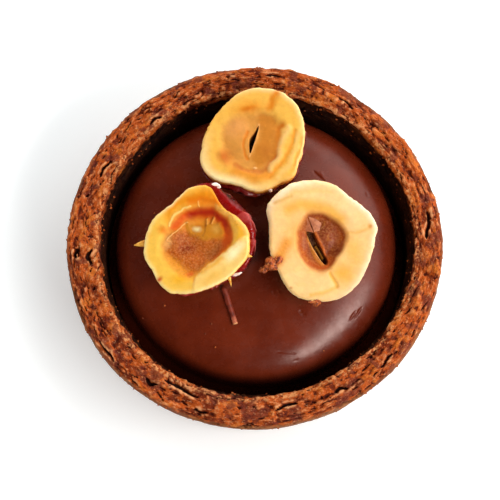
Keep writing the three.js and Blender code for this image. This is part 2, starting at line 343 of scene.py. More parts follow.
def fill_in(corners):
    """A polyline with points between its corners, softened where they are close together."""
    line = [corners[0][:2]]
    for (r0, z0, spacing), (r1, z1, _) in zip(corners, corners[1:]):
        steps = max(1, math.ceil(math.hypot(r1 - r0, z1 - z0) / spacing))
        line += [(mix(r0, r1, k / steps), mix(z0, z1, k / steps)) for k in range(1, steps + 1)]
    line = np.array(line)
    rounded = (line[:, 1] > FILLING_EDGE) & (line[:, 0] > RIM_INSIDE - 1)
    for _ in range(3):
        middle = 0.5 * line + 0.25 * (np.roll(line, 1, axis=0) + np.roll(line, -1, axis=0))
        line[rounded] = middle[rounded]
    return line


profile = fill_in(shell_profile())
print("rows of the shell:", len(profile), "columns:", SHELL_COLUMNS)

# %% [markdown]
# ## Torn crumb
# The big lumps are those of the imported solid, worked out by the same formula, so the two outlines
# agree. Over them come smaller lumps and grains, each about half the size of the last, and thin
# crests where a layer of dough lifted. They are stretched round the tart, as the dough was when
# it was pressed and trimmed.

# %% Lumps, grains and crests on the shell
turns = np.linspace(0, 1, SHELL_COLUMNS, endpoint=False)[None, :]
shell_angle = 2 * np.pi * turns
radius = profile[1:-1, 0][:, None]
height = profile[1:-1, 1][:, None]
walk = np.concatenate([[0], np.cumsum(np.hypot(*np.diff(profile, axis=0).T))])[1:-1][:, None]

inside = radius < RIM_INSIDE + 0.1
on_top = (~inside) & (height > SHELL_HEIGHT - 1)
exposed_wall = clamp((height - FILLING_EDGE) / 2)
torn = np.where(height < 1.2, 0, np.where(on_top, 1, np.where(inside, 0.55 * exposed_wall, 0.3)))


def crag_at(turn, along):
    coarse = ring_lumps(turn, 34, along / 1.7, 1) - 0.5
    middle = ring_lumps(turn, 80, along / 0.9 + 7, 2) - 0.5
    return CRAG_HEIGHT * (0.6 * coarse + 0.4 * middle)


def rim_waver(angle):
    return 0.45 * np.sin(2 * angle + 0.6) + 0.35 * np.sin(3 * angle + 2.1) + 0.2 * np.sin(7 * angle)


along = np.where(inside, SHELL_HEIGHT - height, radius)
crag = torn * crag_at(turns, along)
waver = WAVER * rim_waver(shell_angle) * clamp((height - SHELL_HEIGHT / 2) / (SHELL_HEIGHT / 2))
outward = np.where(radius > RIM_RADIUS - RIM_WIDTH / 2, 1, -1) * np.where(on_top, 0.35, 1)

# The fine relief follows a wandering line rather than the grid. Strands are longer than wide,
# patches are the smooth scraps of dough between them, and a seam runs where two patches meet.
wander = walk + 0.9 * (ring_lumps(turns, 42, walk / 2.2, 11) - 0.5)
drift = turns + 0.004 * (ring_lumps(turns, 60, walk / 1.1, 12) - 0.5)
strands = ring_lumps(drift, 210, wander / 0.36, 13) - 0.5
grains = ring_lumps(drift, 400, wander / 0.27, 14) - 0.5
scraps = ring_lumps(drift, 92, wander / 0.85, 15) - 0.5
meeting = ring_lumps(drift, 58, wander / 1.15, 16)
whole = ease(clamp((ring_lumps(drift, 46, wander / 1.6, 17) - 0.35) / 0.3))
seams = ease(clamp(1 - np.abs(2 * meeting - 1) / 0.2)) * whole
rough = np.where(on_top, 1.0, np.where(inside, exposed_wall, 0.3)) * clamp((height - 0.9) / 0.6)
fine = rough * (0.24 * strands + 0.18 * grains + 0.26 * scraps - 0.26 * seams)
print("fine relief, mm:", round(float(fine.min()), 2), "to", round(float(fine.max()), 2))

# %% [markdown]
# ## Cracks and pits
# As the shell dries in the oven the rim splits. The splits are short, an eighth of a millimetre to
# most of a millimetre wide, and nearly all run round the tart. A few large ones are listed as
# (angle in degrees, radius, length, width, slant), and the rest are strewn at random. Each crack
# bends a little and has sharp walls, because dough tears and doesn't melt.

# %% Cutting the cracks
BIG_CRACKS = [
    (6.6, 25.5, 4.3, 0.75, 6),
    (182.6, 26.2, 1.6, 0.75, 0),
    (184.2, 24.6, 2.3, 0.85, 4),
    (234.0, 25.7, 2.0, 0.70, -4),
    (243.8, 24.5, 5.8, 0.60, 3),
    (217.0, 26.7, 3.8, 0.50, 2),
    (252.6, 26.3, 2.0, 0.50, -3),
    (127.3, 24.4, 1.9, 0.50, 5),
    (281.0, 25.0, 3.4, 0.55, -5),
    (300.0, 25.4, 2.1, 0.70, 8),
    (318.0, 26.0, 2.8, 0.45, -4),
    (58.0, 25.6, 2.6, 0.50, 4),
    (84.0, 26.2, 2.4, 0.45, -3),
    (152.0, 25.2, 3.0, 0.50, 3),
]
SMALL_CRACKS = 170
CRACK_DEPTH = 0.7
rng = np.random.default_rng(11)
cracks = [(*crack, 1.0) for crack in BIG_CRACKS]
for _ in range(SMALL_CRACKS):
    cracks.append((
        rng.uniform(0, 360),
        rng.uniform(RIM_INSIDE - 0.2, RIM_RADIUS - 0.2),
        0.5 + 1.9 * rng.random() ** 2,
        rng.uniform(0.13, 0.30),
        rng.normal(0, 9),
        rng.uniform(0.4, 0.9),
    ))


def cut(depths, angle_deg, at_radius, length, width, slant, deep):
    """Deepens `depths` along one crack; rows are places across the rim, columns go round it."""
    away = (np.degrees(shell_angle) - angle_deg + 180) % 360 - 180
    reach = np.radians(away) * at_radius / (length / 2)
    near = np.abs(reach[0]) < 1
    t = reach[:, near]
    bend = 0.25 * width * np.sin(3.1 * t + angle_deg) + t * length / 2 * math.tan(math.radians(slant))
    ragged = 0.75 + 0.5 * ring_lumps(turns[:, near], 500, walk / 0.3, 21)
    across = np.abs(radius - at_radius - bend) / (0.5 * width * ragged * np.sqrt(1 - t**2))
    wall = clamp(1.6 * (1 - across))
    depths[:, near] = np.maximum(depths[:, near], deep * ease(wall))


crack = np.zeros_like(fine)
for one in cracks:
    cut(crack, *one)
crack = crack * on_top
print("part of the rim that is cracked:", round(float((crack[on_top[:, 0]] > 0.3).mean()), 3))

# %% [markdown]
# ## Which places are high and which are hollow
# The colour of crumb follows its relief: raised grains get a painted highlight of lighter tan, and
# hollows get painted shade. Comparing each height with the average round it tells the two apart, and
# the mesh carries the answer to its material as a layer of numbers.

# %% Building the shell


def blur(values, reach):
    """Average over a window of 2*reach+1 rows and columns; columns wrap round."""
    total = sum(np.roll(values, k, axis=1) for k in range(-reach, reach + 1)) / (2 * reach + 1)
    padded = np.pad(total, ((reach, reach), (0, 0)), mode="edge")
    rows = values.shape[0]
    return sum(padded[k:k + rows] for k in range(2 * reach + 1)) / (2 * reach + 1)


lean = np.gradient(profile, axis=0)[1:-1]
lean = lean / np.linalg.norm(lean, axis=1, keepdims=True)
out_r, out_z = lean[:, 1][:, None], -lean[:, 0][:, None]
relief = fine - CRACK_DEPTH * crack
room_share = np.where(inside, np.where(height > 2, np.minimum(1, radius / (WALL_FOOT - 0.8)), 0),
                      np.where(on_top, clamp((RIM_RADIUS - 1.2 - radius) / (RIM_WIDTH - 1.2)), 0))
shell_r = radius + outward * crag + waver + out_r * relief - room_share * off_centre(shell_angle)
shell_z = height + on_top * crag + waver + out_z * relief
shell_z = np.where(height < 0.01, 0.0, np.maximum(shell_z, 0.0))
shell_grid = turned(shell_r, shell_angle, shell_z)

heights = crag + relief
PROUD = 0.12  # a point this many millimetres above its surroundings counts as 1
stand_out = (heights - blur(heights, 3)) / PROUD
bake = 0.5 + 0.75 * scraps + 0.6 * strands + 0.35 * grains - 0.35 * seams
ridge = ease(clamp(1 - np.abs(radius - RIM_INSIDE - 0.45) / 0.6)) * on_top
lit_side = 0.5 - 0.5 * np.cos(shell_angle - math.radians(-30))
patchy = 0.5 * (ring_lumps(drift, 120, walk / 0.6, 18) - 0.5)
# Painted shade: the wall over the filling is painted darker downwards, to nearly black, and the dark starts
# lower on the lit side.
painted_wall_shade = inside * ease(clamp((SHELL_HEIGHT - 0.1 - 0.55 * lit_side**2 - height + patchy) / 1.25))
out_wall = np.where(on_top, (radius > RIM_RADIUS - 0.7) * clamp((SHELL_HEIGHT - 0.5 - height) / 0.4), ~inside)
ends = [(0, 0, 0), (0, 0, FLOOR_THICKNESS)]

# Places on a smaller circle: a noise read there is drawn out round the tart, like pressed dough.
DRAWN_OUT = 3.2
drawn = turned(RIM_RADIUS / DRAWN_OUT, shell_angle, walk)
shell_layers = {
    "stand_out": stand_out, "crack": crack, "bake": bake,
    "ridge": ridge, "painted_wall_shade": painted_wall_shade, "out_wall": out_wall,
}
shell_layers = {name: with_ends(grid + 0 * shell_r) for name, grid in shell_layers.items()}
shell_layers["drawn"] = round_points(drawn * MM, (0, 0, 0), (0, 0, 0))
print("spread of the bake layer:", round(float(bake.std()), 2))

# %% [markdown]
# ## The colour of cocoa crust
# Cocoa shortcrust isn't one brown. Strands and fibres are tan on top and dark between, partly the
# crumb's own colour and partly painted highlight and painted shade. Scraps rich in butter and cocoa
# are a smoother purple-brown, and hollows and cracks are painted deep red-brown to nearly black as
# painted shade. The wall over the filling is painted darker downwards, also as painted shade. The
# outer wall, which only touched the tin, is greyer and faintly layered. All of it is dry, with a
# slight sheen of fat.

# %% Finish of the crust
crust = Finish("cocoa_crust", roughness=0.7, specular=0.1)
drawn_place = crust.layer("drawn", "Vector")
strand = crust.noise(0.42, 4, 0.62, place=drawn_place)
fibre = crust.noise(0.15, 3, 0.65, place=drawn_place)
bake_depth, proud = crust.layer("bake"), crust.layer("stand_out")
# Strand and fibre noises also raise the bump below; dark where they are low and pale where high is partly the
# crumb's own colour, partly painted shade and painted highlight.
baked = crust.tints(
    ink(176, 76, 20),
    ((82, 20, 0), strand, 0.47, 0.36, 1.0),
    ((206, 124, 72), strand, 0.53, 0.66, 1.0),
    ((96, 26, 4), bake_depth, 0.42, 0.15, 0.85),
    ((204, 110, 36), bake_depth, 0.58, 0.9, 0.7),
    ((108, 44, 30), crust.noise(2.1, 2), 0.53, 0.61, 0.75),
    ((56, 13, 2), fibre, 0.42, 0.31, 0.6),
    ((228, 166, 116), fibre, 0.57, 0.70, 0.5),
)
baked = crust.shade(baked, crust.range(crust.noise(0.2, 3, 0.7), 0.3, 0.7), 0.74, 1.12)
flakes = crust.range(crust.noise(0.5, 2), 0.46, 0.62)
ridge_flakes = crust.times(flakes, crust.range(crust.layer("ridge"), 0.2, 0.9))
baked = crust.over(baked, (208, 138, 84), ridge_flakes)
# Painted highlight: raised grains are made a lighter tan. Painted shade: hollows are made dark.
baked = crust.tints(
    baked,
    ((226, 158, 106), proud, 0.7, 2.2, 0.8),
    ((60, 15, 3), proud, -0.4, -1.8, 1.0),
)
# Painted shade down the wall over the filling.
baked = crust.shade(baked, crust.layer("painted_wall_shade"), 1.0, 0.06)
tin_side = crust.tints(
    ink(150, 98, 58),
    ((100, 56, 31), crust.noise(0.8, 5, 0.6, stretch=(0.6, 0.6, 1.3)), 0.4, 0.62, 1.0),
    ((122, 66, 36), crust.noise(2.8, 3), 0.45, 0.65, 0.7),
    ((60, 27, 13), crust.noise(0.5, 3, 0.6), 0.40, 0.30, 0.85),
)
inputs = {MIX_SHARE: crust.times(crust.layer("out_wall"), 0.92), MIX_BELOW: baked, MIX_OVER: tin_side}
baked = crust.add("Mix", MIX_RESULT, inputs, data_type="RGBA")
# Painted shade: the cracks are painted nearly black.
crust.colour(crust.tint(baked, (34, 9, 3), crust.layer("crack"), 0.3, 0.85))
crust.roughness(crust.noise(0.5, 2), 0.3, 0.7, 0.5, 0.8)
crust.relief(strand, 0.3, 0.9)
crust.relief(fibre, 0.09, 0.9)
crust.relief(crust.noise(0.16, 3, 0.7), 0.05, 0.7)
make_piece(
    "shell", round_points(shell_grid, *ends), turned_over(round_faces(*shell_grid.shape[:2])),
    crust.material, "crust", "crust", shell_layers,
)

# %% [markdown]
# ## Three halved hazelnuts
# A hazelnut splits into two seed leaves. Cut across, it shows them with a gap between, and after
# roasting the middle is a toasted, slightly sunken bed in a firm pale rim. No two are alike, so a
# copied and turned nut would look false. Each nut here is a grid like the shell's, and what makes
# it that nut is a short list of brush strokes. A stroke can raise or lower the face and colour it
# at the same time, which keeps relief and colour together as they are in a real nut.

# %% Where each nut lies
# `at` is the middle of the cut face; the face leans by `lean` degrees towards the angle `towards`.
# `outline` is its radius every 15 degrees, `thickness` its depth, and `bulge` says how far the red
# skin stands proud of the flesh at some of those angles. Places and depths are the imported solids' own.
NUTS = {
    "nut_top": dict(
        at=(0.0, 14.6, SHELL_HEIGHT + 5.0), lean=4, towards=100, thickness=7.0,
        outline=[7.35, 7.6, 8.0, 8.4, 8.5, 8.3, 8.2, 7.8, 7.25, 6.93, 6.9, 7.1,
                 7.5, 8.1, 8.7, 8.55, 7.75, 7.5, 7.95, 7.95, 7.75, 8.1, 7.5, 7.33],
        bulge={225: 0.25, 240: 0.4, 255: 0.4, 270: 0.3},
    ),
    "nut_left": dict(
        at=(-8.7, -1.05, SHELL_HEIGHT + 5.0), lean=18, towards=225, thickness=6.8,
        outline=[8.2, 8.0, 7.3, 6.6, 7.1, 8.45, 8.2, 7.35, 6.7, 6.85, 7.2, 7.35,
                 7.6, 7.85, 7.55, 7.95, 8.1, 7.7, 7.3, 7.0, 7.0, 7.3, 7.6, 8.2],
        bulge={0: 0.45, 15: 0.75, 30: 1.4, 45: 1.75, 60: 1.3, 75: 0.35, 315: 0.2, 330: 0.45, 345: 0.3},
    ),
    "nut_right": dict(
        at=(9.9, -0.7, SHELL_HEIGHT + 5.4), lean=15, towards=-70, thickness=7.0,
        outline=[7.75, 8.2, 8.0, 7.55, 7.55, 8.1, 8.5, 8.95, 9.3, 9.4, 9.3, 8.1,
                 7.75, 7.85, 7.8, 8.2, 8.95, 9.1, 9.0, 8.95, 8.55, 8.1, 7.7, 7.55],
        bulge={},
    ),
}
NUT_COLUMNS = 384
FACE_ROWS = 84
ROUNDING_ROWS = 10
ROUNDING_SHARE = 0.75  # how deep the rounded edge of a face is for its width
BODY_ROWS = 36
FULL_SIDE, FULL_FOOT = 0.8, 1.15  # with 1 and 1 the side of a nut is a plain half oval


def curve_through(a, b, c, d, f):
    """A smooth curve (Catmull-Rom) from b to c, at a share f of the way; a and d are the points beyond."""
    return 0.5 * (2 * b + (c - a) * f + (2 * a - 5 * b + 4 * c - d) * f**2 + (3 * b - a - 3 * c + d) * f**3)


def smooth_ring(points, steps):
    """Points on a smooth closed curve through a few points or radii."""
    points = np.asarray(points, float)
    t = np.linspace(0, len(points), steps, endpoint=False)
    i = np.floor(t).astype(int)
    f = (t - i).reshape((-1,) + (1,) * (points.ndim - 1))
    return curve_through(*(points[(i + k) % len(points)] for k in (-1, 0, 1, 2)), f)


def nut_rotation(nut):
    lean, towards = math.radians(nut["lean"]), math.radians(nut["towards"])
    up = Vector((math.sin(lean) * math.cos(towards), math.sin(lean) * math.sin(towards), math.cos(lean)))
    return np.array(Vector((0, 0, 1)).rotation_difference(up).to_matrix())


def on_tart(nut, points):
    """Points measured on the nut's own face, moved to where the nut lies on the tart."""
    return points @ nut_rotation(nut).T + np.array(nut["at"])


nut_angle = np.linspace(0, 2 * np.pi, NUT_COLUMNS, endpoint=False)
nut_turn = nut_angle / (2 * np.pi)
print("nut faces lean, degrees:", {name: nut["lean"] for name, nut in NUTS.items()})

# %% [markdown]
# ## Brushes
# Three brushes are enough. A stroke follows a line through a few points and fades to both sides,
# a dab is a soft oval, and a field fills a closed outline. Each gives a number from 0 to 1 for
# every point of the face, in millimetres from the middle of the nut.

# %% The three brushes


def distance_to(x, y, path, closed=False):
    """How far each point is from a line through `path`, in millimetres."""
    path = np.asarray(path, float)
    ends = np.roll(path, -1, axis=0) if closed else path[1:]
    nearest = np.full(x.shape, 1e9)
    for (ax, ay), (bx, by) in zip(path, ends):
        dx, dy = bx - ax, by - ay
        t = clamp(((x - ax) * dx + (y - ay) * dy) / max(dx * dx + dy * dy, 1e-9))
        nearest = np.minimum(nearest, np.hypot(x - ax - t * dx, y - ay - t * dy))
    return nearest


def bend(path, steps=6):
    """More points along an open path, so that a stroke curves instead of turning corners."""
    path = np.asarray(path, float)
    padded = np.vstack([2 * path[0] - path[1], path, 2 * path[-1] - path[-2]])
    shares = np.linspace(0, 1, steps, endpoint=False)
    spans = zip(padded, padded[1:], padded[2:], padded[3:])
    return np.array([curve_through(*span, f) for span in spans for f in shares] + [path[-1]])


def stroke(x, y, path, width, taper=False):
    """1 along the path, 0 at `width` to either side; a tapered stroke thins towards its ends."""
    line = bend(path) if len(path) > 2 else np.asarray(path, float)
    away = distance_to(x, y, line) / width
    if taper:
        from_end = np.minimum(*(np.hypot(x - end[0], y - end[1]) for end in (path[0], path[-1])))
        away = away / clamp(0.3 + from_end / (2.5 * width), 0.3, 1.0)
    return ease(clamp(1 - away))


def dab(x, y, at, size, turn=0, soft=1.0):
    """A soft oval; `soft` is the share of its radius over which it fades."""
    c, s = math.cos(math.radians(turn)), math.sin(math.radians(turn))
    u = ((x - at[0]) * c + (y - at[1]) * s) / size[0]
    v = (-(x - at[0]) * s + (y - at[1]) * c) / size[1]
    return ease(clamp((1 - np.hypot(u, v)) / soft))


def field(x, y, outline, soft):
    """1 inside a closed outline, fading over `soft` millimetres across its edge."""
    ring = smooth_ring(outline, 8 * len(outline))
    away = distance_to(x, y, ring, closed=True)
    within = np.zeros(x.shape, bool)
    for (ax, ay), (bx, by) in zip(ring, np.roll(ring, -1, axis=0)):
        crosses = (ay > y) != (by > y)
        within ^= crosses & (x < ax + (bx - ax) * (y - ay) / (by - ay if by != ay else 1e-9))
    return ease(clamp(0.5 + np.where(within, away, -away) / soft))


def near_angle(degrees, middle, reach):
    """1 near an angle, falling smoothly to 0 at `reach` degrees away."""
    return ease(clamp(1 - np.abs((degrees - middle + 180) % 360 - 180) / reach))


print("a stroke at its middle and edge:", stroke(np.array([0.0, 1.0]), np.zeros(2), [(0, -1), (0, 1)], 1.0))

# %% [markdown]
# ## The face of a nut
# The `Face` keeps a height and a colour for every point. Its `lay` method is one touch of the
# knife or of the oven: where, how high or low, what colour and how strongly. Colours are laid in
# order, like glazes, so the last stroke lies on top.

# %% A face to work on


class Face:
    """The cut face of one nut: its grid, its height and its colour, all in the nut's own plane."""

    def __init__(self, nut, flesh, rim_rounding, unsteady=1.0):
        self.nut = nut
        self.edge = smooth_ring(nut["outline"], NUT_COLUMNS)
        self.edge = self.edge + 0.16 * (ring_lumps(nut_turn, 40, 0.5, nut["lean"]) - 0.5)
        self.edge = self.edge + 0.15 * (ring_lumps(nut_turn, 110, 3.5, nut["lean"]) - 0.5)
        self.rounding = rim_rounding(np.degrees(nut_angle))
        share = np.linspace(1 / FACE_ROWS, 1, FACE_ROWS)[:, None]
        core = (self.edge - self.rounding)[None, :]
        turn = np.linspace(0, np.pi / 2, ROUNDING_ROWS + 1)[1:, None]
        reach = np.vstack([share * core, core + self.rounding * np.sin(turn)])
        self.drop = np.vstack([0 * share * core, self.rounding * ROUNDING_SHARE * (1 - np.cos(turn))])
        self.x = reach * np.cos(nut_angle)
        self.y = reach * np.sin(nut_angle)
        spot = np.stack([self.x, self.y, 0 * self.x], axis=2)
        seed = nut["lean"]
        shake = 0.45 * cloud(spot, 1.3, seed) + 0.14 * cloud(spot, 0.5, seed + 1) - 0.295
        sway = 0.45 * cloud(spot, 1.3, seed + 2) + 0.14 * cloud(spot, 0.5, seed + 3) - 0.295
        self.wx, self.wy = self.x + unsteady * shake, self.y + unsteady * sway
        self.spot = spot
        self.z = 0.10 * (cloud(spot, 2.6, seed + 4) - 0.5) + 0.05 * (cloud(spot, 0.9, seed + 5) - 0.5)
        self.paint = np.zeros(self.x.shape + (3,)) + np.array(ink(*flesh)[:3])
        self.grit = np.zeros(self.x.shape)
        self.wet = np.zeros(self.x.shape)

    def stroke(self, path, width, *look, **effects):
        self.lay(stroke(self.wx, self.wy, path, width), *look, **effects)

    def dab(self, at, shape, *look, **effects):
        """`shape` is half the length and width of the oval, then its turn and softness if it has any."""
        self.lay(dab(self.wx, self.wy, at, shape[:2], *shape[2:]), *look, **effects)

    def field(self, outline, soft, *look, **effects):
        self.lay(field(self.wx, self.wy, outline, soft), *look, **effects)

    def rim(self, middle, reach, width, *look, **effects):
        """A band along the edge, round the angle `middle`, fading `reach` degrees to each side."""
        from_edge = self.edge[None, :] - np.hypot(self.x, self.y)
        near = near_angle(np.degrees(nut_angle), middle, reach)[None, :]
        self.lay(ease(clamp(1 - from_edge / width)) * near, *look, **effects)

    def lay(self, where, colour=None, strength=1.0, height=0.0, grit=0.0, wet=0.0):
        """Raises the face by `height` and colours it as far as `where` says; 1 is all the way."""
        self.z = self.z + height * where
        self.grit = np.maximum(self.grit, grit * where)
        self.wet = np.maximum(self.wet, wet * where)
        if colour:
            over = (strength * where)[..., None]
            self.paint = self.paint * (1 - over) + np.array(ink(*colour)[:3]) * over


print("points on one face:", (FACE_ROWS + ROUNDING_ROWS) * NUT_COLUMNS)

# %% [markdown]
# ## The golden nut
# The first half is cut straight through both seed leaves. They fill most of the bed and meet at a
# dark, pointed gap. To the right the rim has dried into pale folds with orange furrows between.

# %% Strokes of the golden nut
GOLD = (247, 197, 94)
AMBER = (236, 154, 34)
NUT_BROWN = (192, 90, 22)

top = Face(NUTS["nut_top"], GOLD, lambda degrees: 0.45 + 0 * degrees)
top.rim(60, 85, 1.1, (255, 236, 186), 0.95)
top.rim(-10, 60, 0.7, (255, 238, 184), 0.85)
top.rim(235, 85, 2.0, (255, 246, 206), 0.95)
top.dab((-0.9, 4.9), (3.8, 1.7, 10), AMBER, 0.85)
top.dab((-1.0, 4.8), (1.7, 0.8, 12), (216, 120, 14), 0.85)
top.stroke([(3.3, 7.4), (2.8, 6.2), (2.2, 5.0)], 1.0, (224, 138, 28), 0.95, height=-0.08)
top.stroke([(-2.6, -4.7), (0.0, -5.7), (2.2, -5.3)], 1.7, (232, 154, 50), 0.9)

# The bed and the two seed leaves in it.
TOP_BED = [
    (0.5, 4.4), (2.1, 4.1), (3.4, 2.9), (3.9, 1.2), (3.7, -0.8), (3.0, -2.8), (1.8, -4.5), (0.1, -5.0),
    (-1.6, -4.5), (-3.2, -3.6), (-4.2, -1.9), (-4.8, -0.1), (-4.4, 2.0), (-2.8, 3.4), (-1.0, 4.0),
]
top.field(TOP_BED, 1.7, (220, 156, 76), 0.95, height=-0.34)
top.dab((-2.5, 0.6), (2.6, 4.0, -8, 0.7), height=0.2)
top.dab((1.6, 0.0), (2.4, 4.2, -14, 0.7), height=0.16)
top.dab((-2.6, 1.9), (2.7, 2.7, -25), (230, 166, 98), 0.95)
top.dab((-2.4, -1.6), (1.9, 2.4), (214, 152, 72), 0.7)
top.field([(0.8, 3.9), (2.7, 3.5), (3.6, 1.6), (3.3, -1.2), (2.3, -3.2), (0.6, -4.3), (-0.2, -3.2),
          (0.4, -0.6), (0.9, 1.6)], 1.1, (206, 134, 46), 0.9)
top.dab((1.9, -2.0), (1.9, 2.3), (194, 118, 38), 0.6)
# Partly painted shade: darker lines along the right and lower edges of the bed.
top.stroke([(3.6, 1.6), (3.7, -0.6), (3.0, -2.7)], 0.8, (214, 124, 30), 0.75)
top.stroke([(-2.8, -3.9), (-1.1, -4.8), (0.3, -5.0), (1.8, -4.5), (2.9, -2.9)], 0.7, NUT_BROWN, 0.6,
           height=-0.06)
top.dab((-4.3, -2.6), (1.8, 2.4, 20), (204, 104, 26), 0.9, height=-0.06)
top.dab((4.0, 2.3), (1.0, 1.2, -30), (208, 116, 22), 0.95, height=-0.08)

# The folded rim to the right.
top.stroke([(5.1, 2.0), (4.2, -0.2), (3.6, -2.5), (2.4, -4.7)], 0.7, (254, 214, 142), 0.85, height=0.13)
top.stroke([(5.8, 1.4), (5.2, -1.6), (3.8, -3.9), (2.1, -5.9)], 0.6, (242, 164, 54), 0.85, height=-0.1)
top.stroke([(6.6, 1.4), (6.0, -1.8), (4.8, -4.2), (3.6, -6.0)], 0.7, (254, 214, 138), 0.75, height=0.08)
top.stroke([(7.0, 0.4), (6.6, -1.6), (5.6, -4.0)], 0.4, (247, 182, 78), 0.7, height=-0.05)

# The gap between the leaves, its pale lip, and the amber line beside it.
top.stroke([(-1.0, 1.2), (-1.45, -0.3), (-1.35, -1.6), (-0.9, -2.9)], 0.42, (222, 132, 32), 0.9,
           height=-0.05)
top.stroke([(0.75, 2.6), (0.55, 1.4), (0.15, -0.1), (-0.3, -1.5), (-0.55, -2.5)], 0.26, (246, 186, 120),
           0.7, height=0.05)
TOP_GAP = [
    (0.56, 2.15), (0.05, 1.25), (-0.5, 0.5), (-0.72, -0.3), (-0.62, -1.9), (-0.3, -1.1), (0.1, 0.2),
    (0.4, 1.2),
]
top.wx, top.wy = top.x, top.y
# Painted shade: the gap between the seed leaves is painted nearly black.
top.field(TOP_GAP, 0.16, (14, 4, 2), height=-2.6)
top.dab((0.1, -4.35), (0.4, 0.3), (252, 206, 150), 0.9, height=0.12)
print("golden nut, deepest, mm:", round(float(top.z.min()), 2))

# %% [markdown]
# ## The toasted nut
# The second half had the hardest roast. Its middle fell in: the floor is granular caramel, the wall
# above it dark red-brown, partly browning and partly painted shade, and a torn, milky film still
# hangs there. Below right a smooth lobe of the rim has folded over the hollow with a sharp edge.

# %% Strokes of the toasted nut
SUN = (250, 203, 98)

left = Face(NUTS["nut_left"], SUN, lambda degrees: 0.4 + 0 * degrees)
left.rim(205, 125, 0.9, (255, 238, 190), 0.95)
# Partly painted shade: the darker orange band above the hollow.
left.field([(-4.2, 4.6), (-2.4, 6.6), (0.0, 7.6), (2.0, 7.8), (3.6, 7.2), (3.8, 5.4), (2.2, 5.2),
           (0.2, 5.6), (-1.2, 5.6), (-2.8, 4.6), (-4.0, 3.2)], 1.7, (240, 152, 24), 0.95, height=-0.1)
left.stroke([(-0.6, 6.2), (1.6, 6.1), (3.6, 5.6)], 1.2, (226, 116, 8), 0.8)
# Painted highlight along the upper rim.
left.rim(118, 45, 0.6, (255, 232, 196))
left.dab((-2.2, -5.2), (2.6, 1.3), (245, 182, 38), 0.85)
left.dab((-4.7, 2.0), (1.2, 1.4, 60), (232, 126, 14), 0.9, height=-0.06)

LEFT_HOLLOW = [
    (-1.1, 5.1), (1.0, 5.5), (3.4, 4.9), (5.1, 3.4), (5.8, 1.8), (5.3, -0.1), (4.0, -1.6), (2.5, -2.9),
    (1.0, -4.2), (-0.3, -4.9), (-1.8, -4.6), (-3.1, -3.8), (-4.2, -2.6), (-4.8, -1.0), (-4.6, 0.6),
    (-4.0, 2.0), (-3.0, 3.7),
]
left.field(LEFT_HOLLOW, 2.0, (226, 142, 44), 0.95, height=-0.8)
left.dab((1.2, 0.9), (4.7, 4.6, 40, 0.6), height=-1.0)
# The dark red-orange on the upper and right walls of the hollow is partly browning and partly painted shade.
left.field([(-3.6, 2.6), (-2.0, 4.5), (0.2, 5.1), (2.4, 5.0), (4.0, 4.2), (5.3, 2.4), (5.3, 0.4),
           (4.4, -1.2), (2.8, -2.9), (2.2, -2.0), (3.6, -0.4), (3.9, 1.6), (2.8, 3.3), (0.6, 3.8),
           (-1.4, 3.4), (-2.8, 2.0)], 1.1, (222, 88, 0), 0.95, wet=0.15)
left.stroke([(-0.8, 4.2), (1.0, 4.6), (2.6, 4.1), (4.1, 3.1), (4.8, 1.8)], 1.15, (172, 34, 0), 0.95,
            height=-0.1, wet=0.2)
left.stroke([(4.9, 1.6), (4.9, 0.2), (4.0, -1.2), (2.6, -2.7)], 1.0, (206, 82, 2), 0.85, wet=0.2)

# The granular floor, and the patches where it caught.
left.field([(-3.8, 1.2), (-1.6, 1.8), (0.6, 0.8), (3.2, 0.4), (3.9, -0.9), (2.0, -3.0), (0.2, -4.1),
           (-2.2, -3.6), (-3.9, -2.0), (-4.3, 0.0)], 1.5, (186, 92, 28), 0.95, grit=0.7)
left.dab((-1.5, -0.8), (1.9, 1.6), (134, 40, 4), 0.9, height=-0.15, grit=0.7)
left.dab((-2.2, 0.7), (1.1, 0.9), (172, 92, 56), 0.6, grit=0.8)
left.dab((1.9, -1.2), (1.8, 1.3, 30), (184, 104, 44), 0.7, grit=0.7)
left.dab((-4.0, 0.2), (0.9, 1.5, -20), (234, 182, 124), 0.75, grit=0.7, height=0.1)
left.stroke([(-3.9, -2.4), (-2.6, -3.8), (-1.0, -4.6)], 1.3, (234, 156, 48), 0.75, grit=0.4)
left.dab((-0.9, -4.4), (1.3, 0.8), (218, 94, 14), 0.95)

# The milky film with its torn upper edge.
left.field([(-1.3, 3.0), (0.2, 2.9), (1.3, 2.6), (1.7, 3.6), (2.1, 2.9), (2.6, 3.4), (3.0, 2.8), (3.6, 2.7),
           (3.9, 1.0), (2.6, 0.4), (0.9, 0.5), (-0.9, 1.2)], 0.6, (208, 138, 40), 0.85, height=0.3,
           wet=0.35)
left.dab((0.1, 2.1), (0.95, 0.85), (250, 232, 194), height=0.12, wet=0.8)
left.dab((2.8, 1.9), (1.1, 1.2), (226, 174, 92), 0.85, wet=0.3)
left.stroke([(1.3, 2.7), (1.2, 1.8), (0.9, 1.1)], 0.3, (184, 120, 46), 0.7, height=-0.05)
left.stroke([(-4.2, 0.5), (-3.4, 1.3), (-2.7, 1.8), (-1.9, 2.6), (-1.2, 3.0)], 0.16, (250, 204, 146), 0.8,
            height=0.1)
for tooth in ([(1.55, 2.9), (1.6, 3.5)], [(2.4, 2.9), (2.6, 3.4)]):
    left.stroke(tooth, 0.3, (240, 176, 96), 0.85, height=0.22)

# Ridges that stand round the hollow.
left.stroke([(-3.7, 2.8), (-3.3, 3.9), (-2.3, 4.6), (-1.7, 5.2), (-0.8, 5.5)], 0.24, (255, 220, 148), 0.9,
            height=0.14)
left.stroke([(0.6, 6.0), (0.75, 5.4)], 0.18, (255, 208, 130), 0.7, height=0.08)
left.stroke([(3.4, 5.1), (4.6, 4.4), (5.6, 3.6), (6.6, 2.5)], 0.7, (242, 184, 88), 0.85, height=0.1,
            grit=0.6)
left.stroke([(6.4, 2.6), (6.9, 1.4), (6.5, 0.4)], 1.0, (243, 180, 54), 0.85, height=0.05)
left.rim(10, 42, 0.9, (252, 202, 140), 0.9)

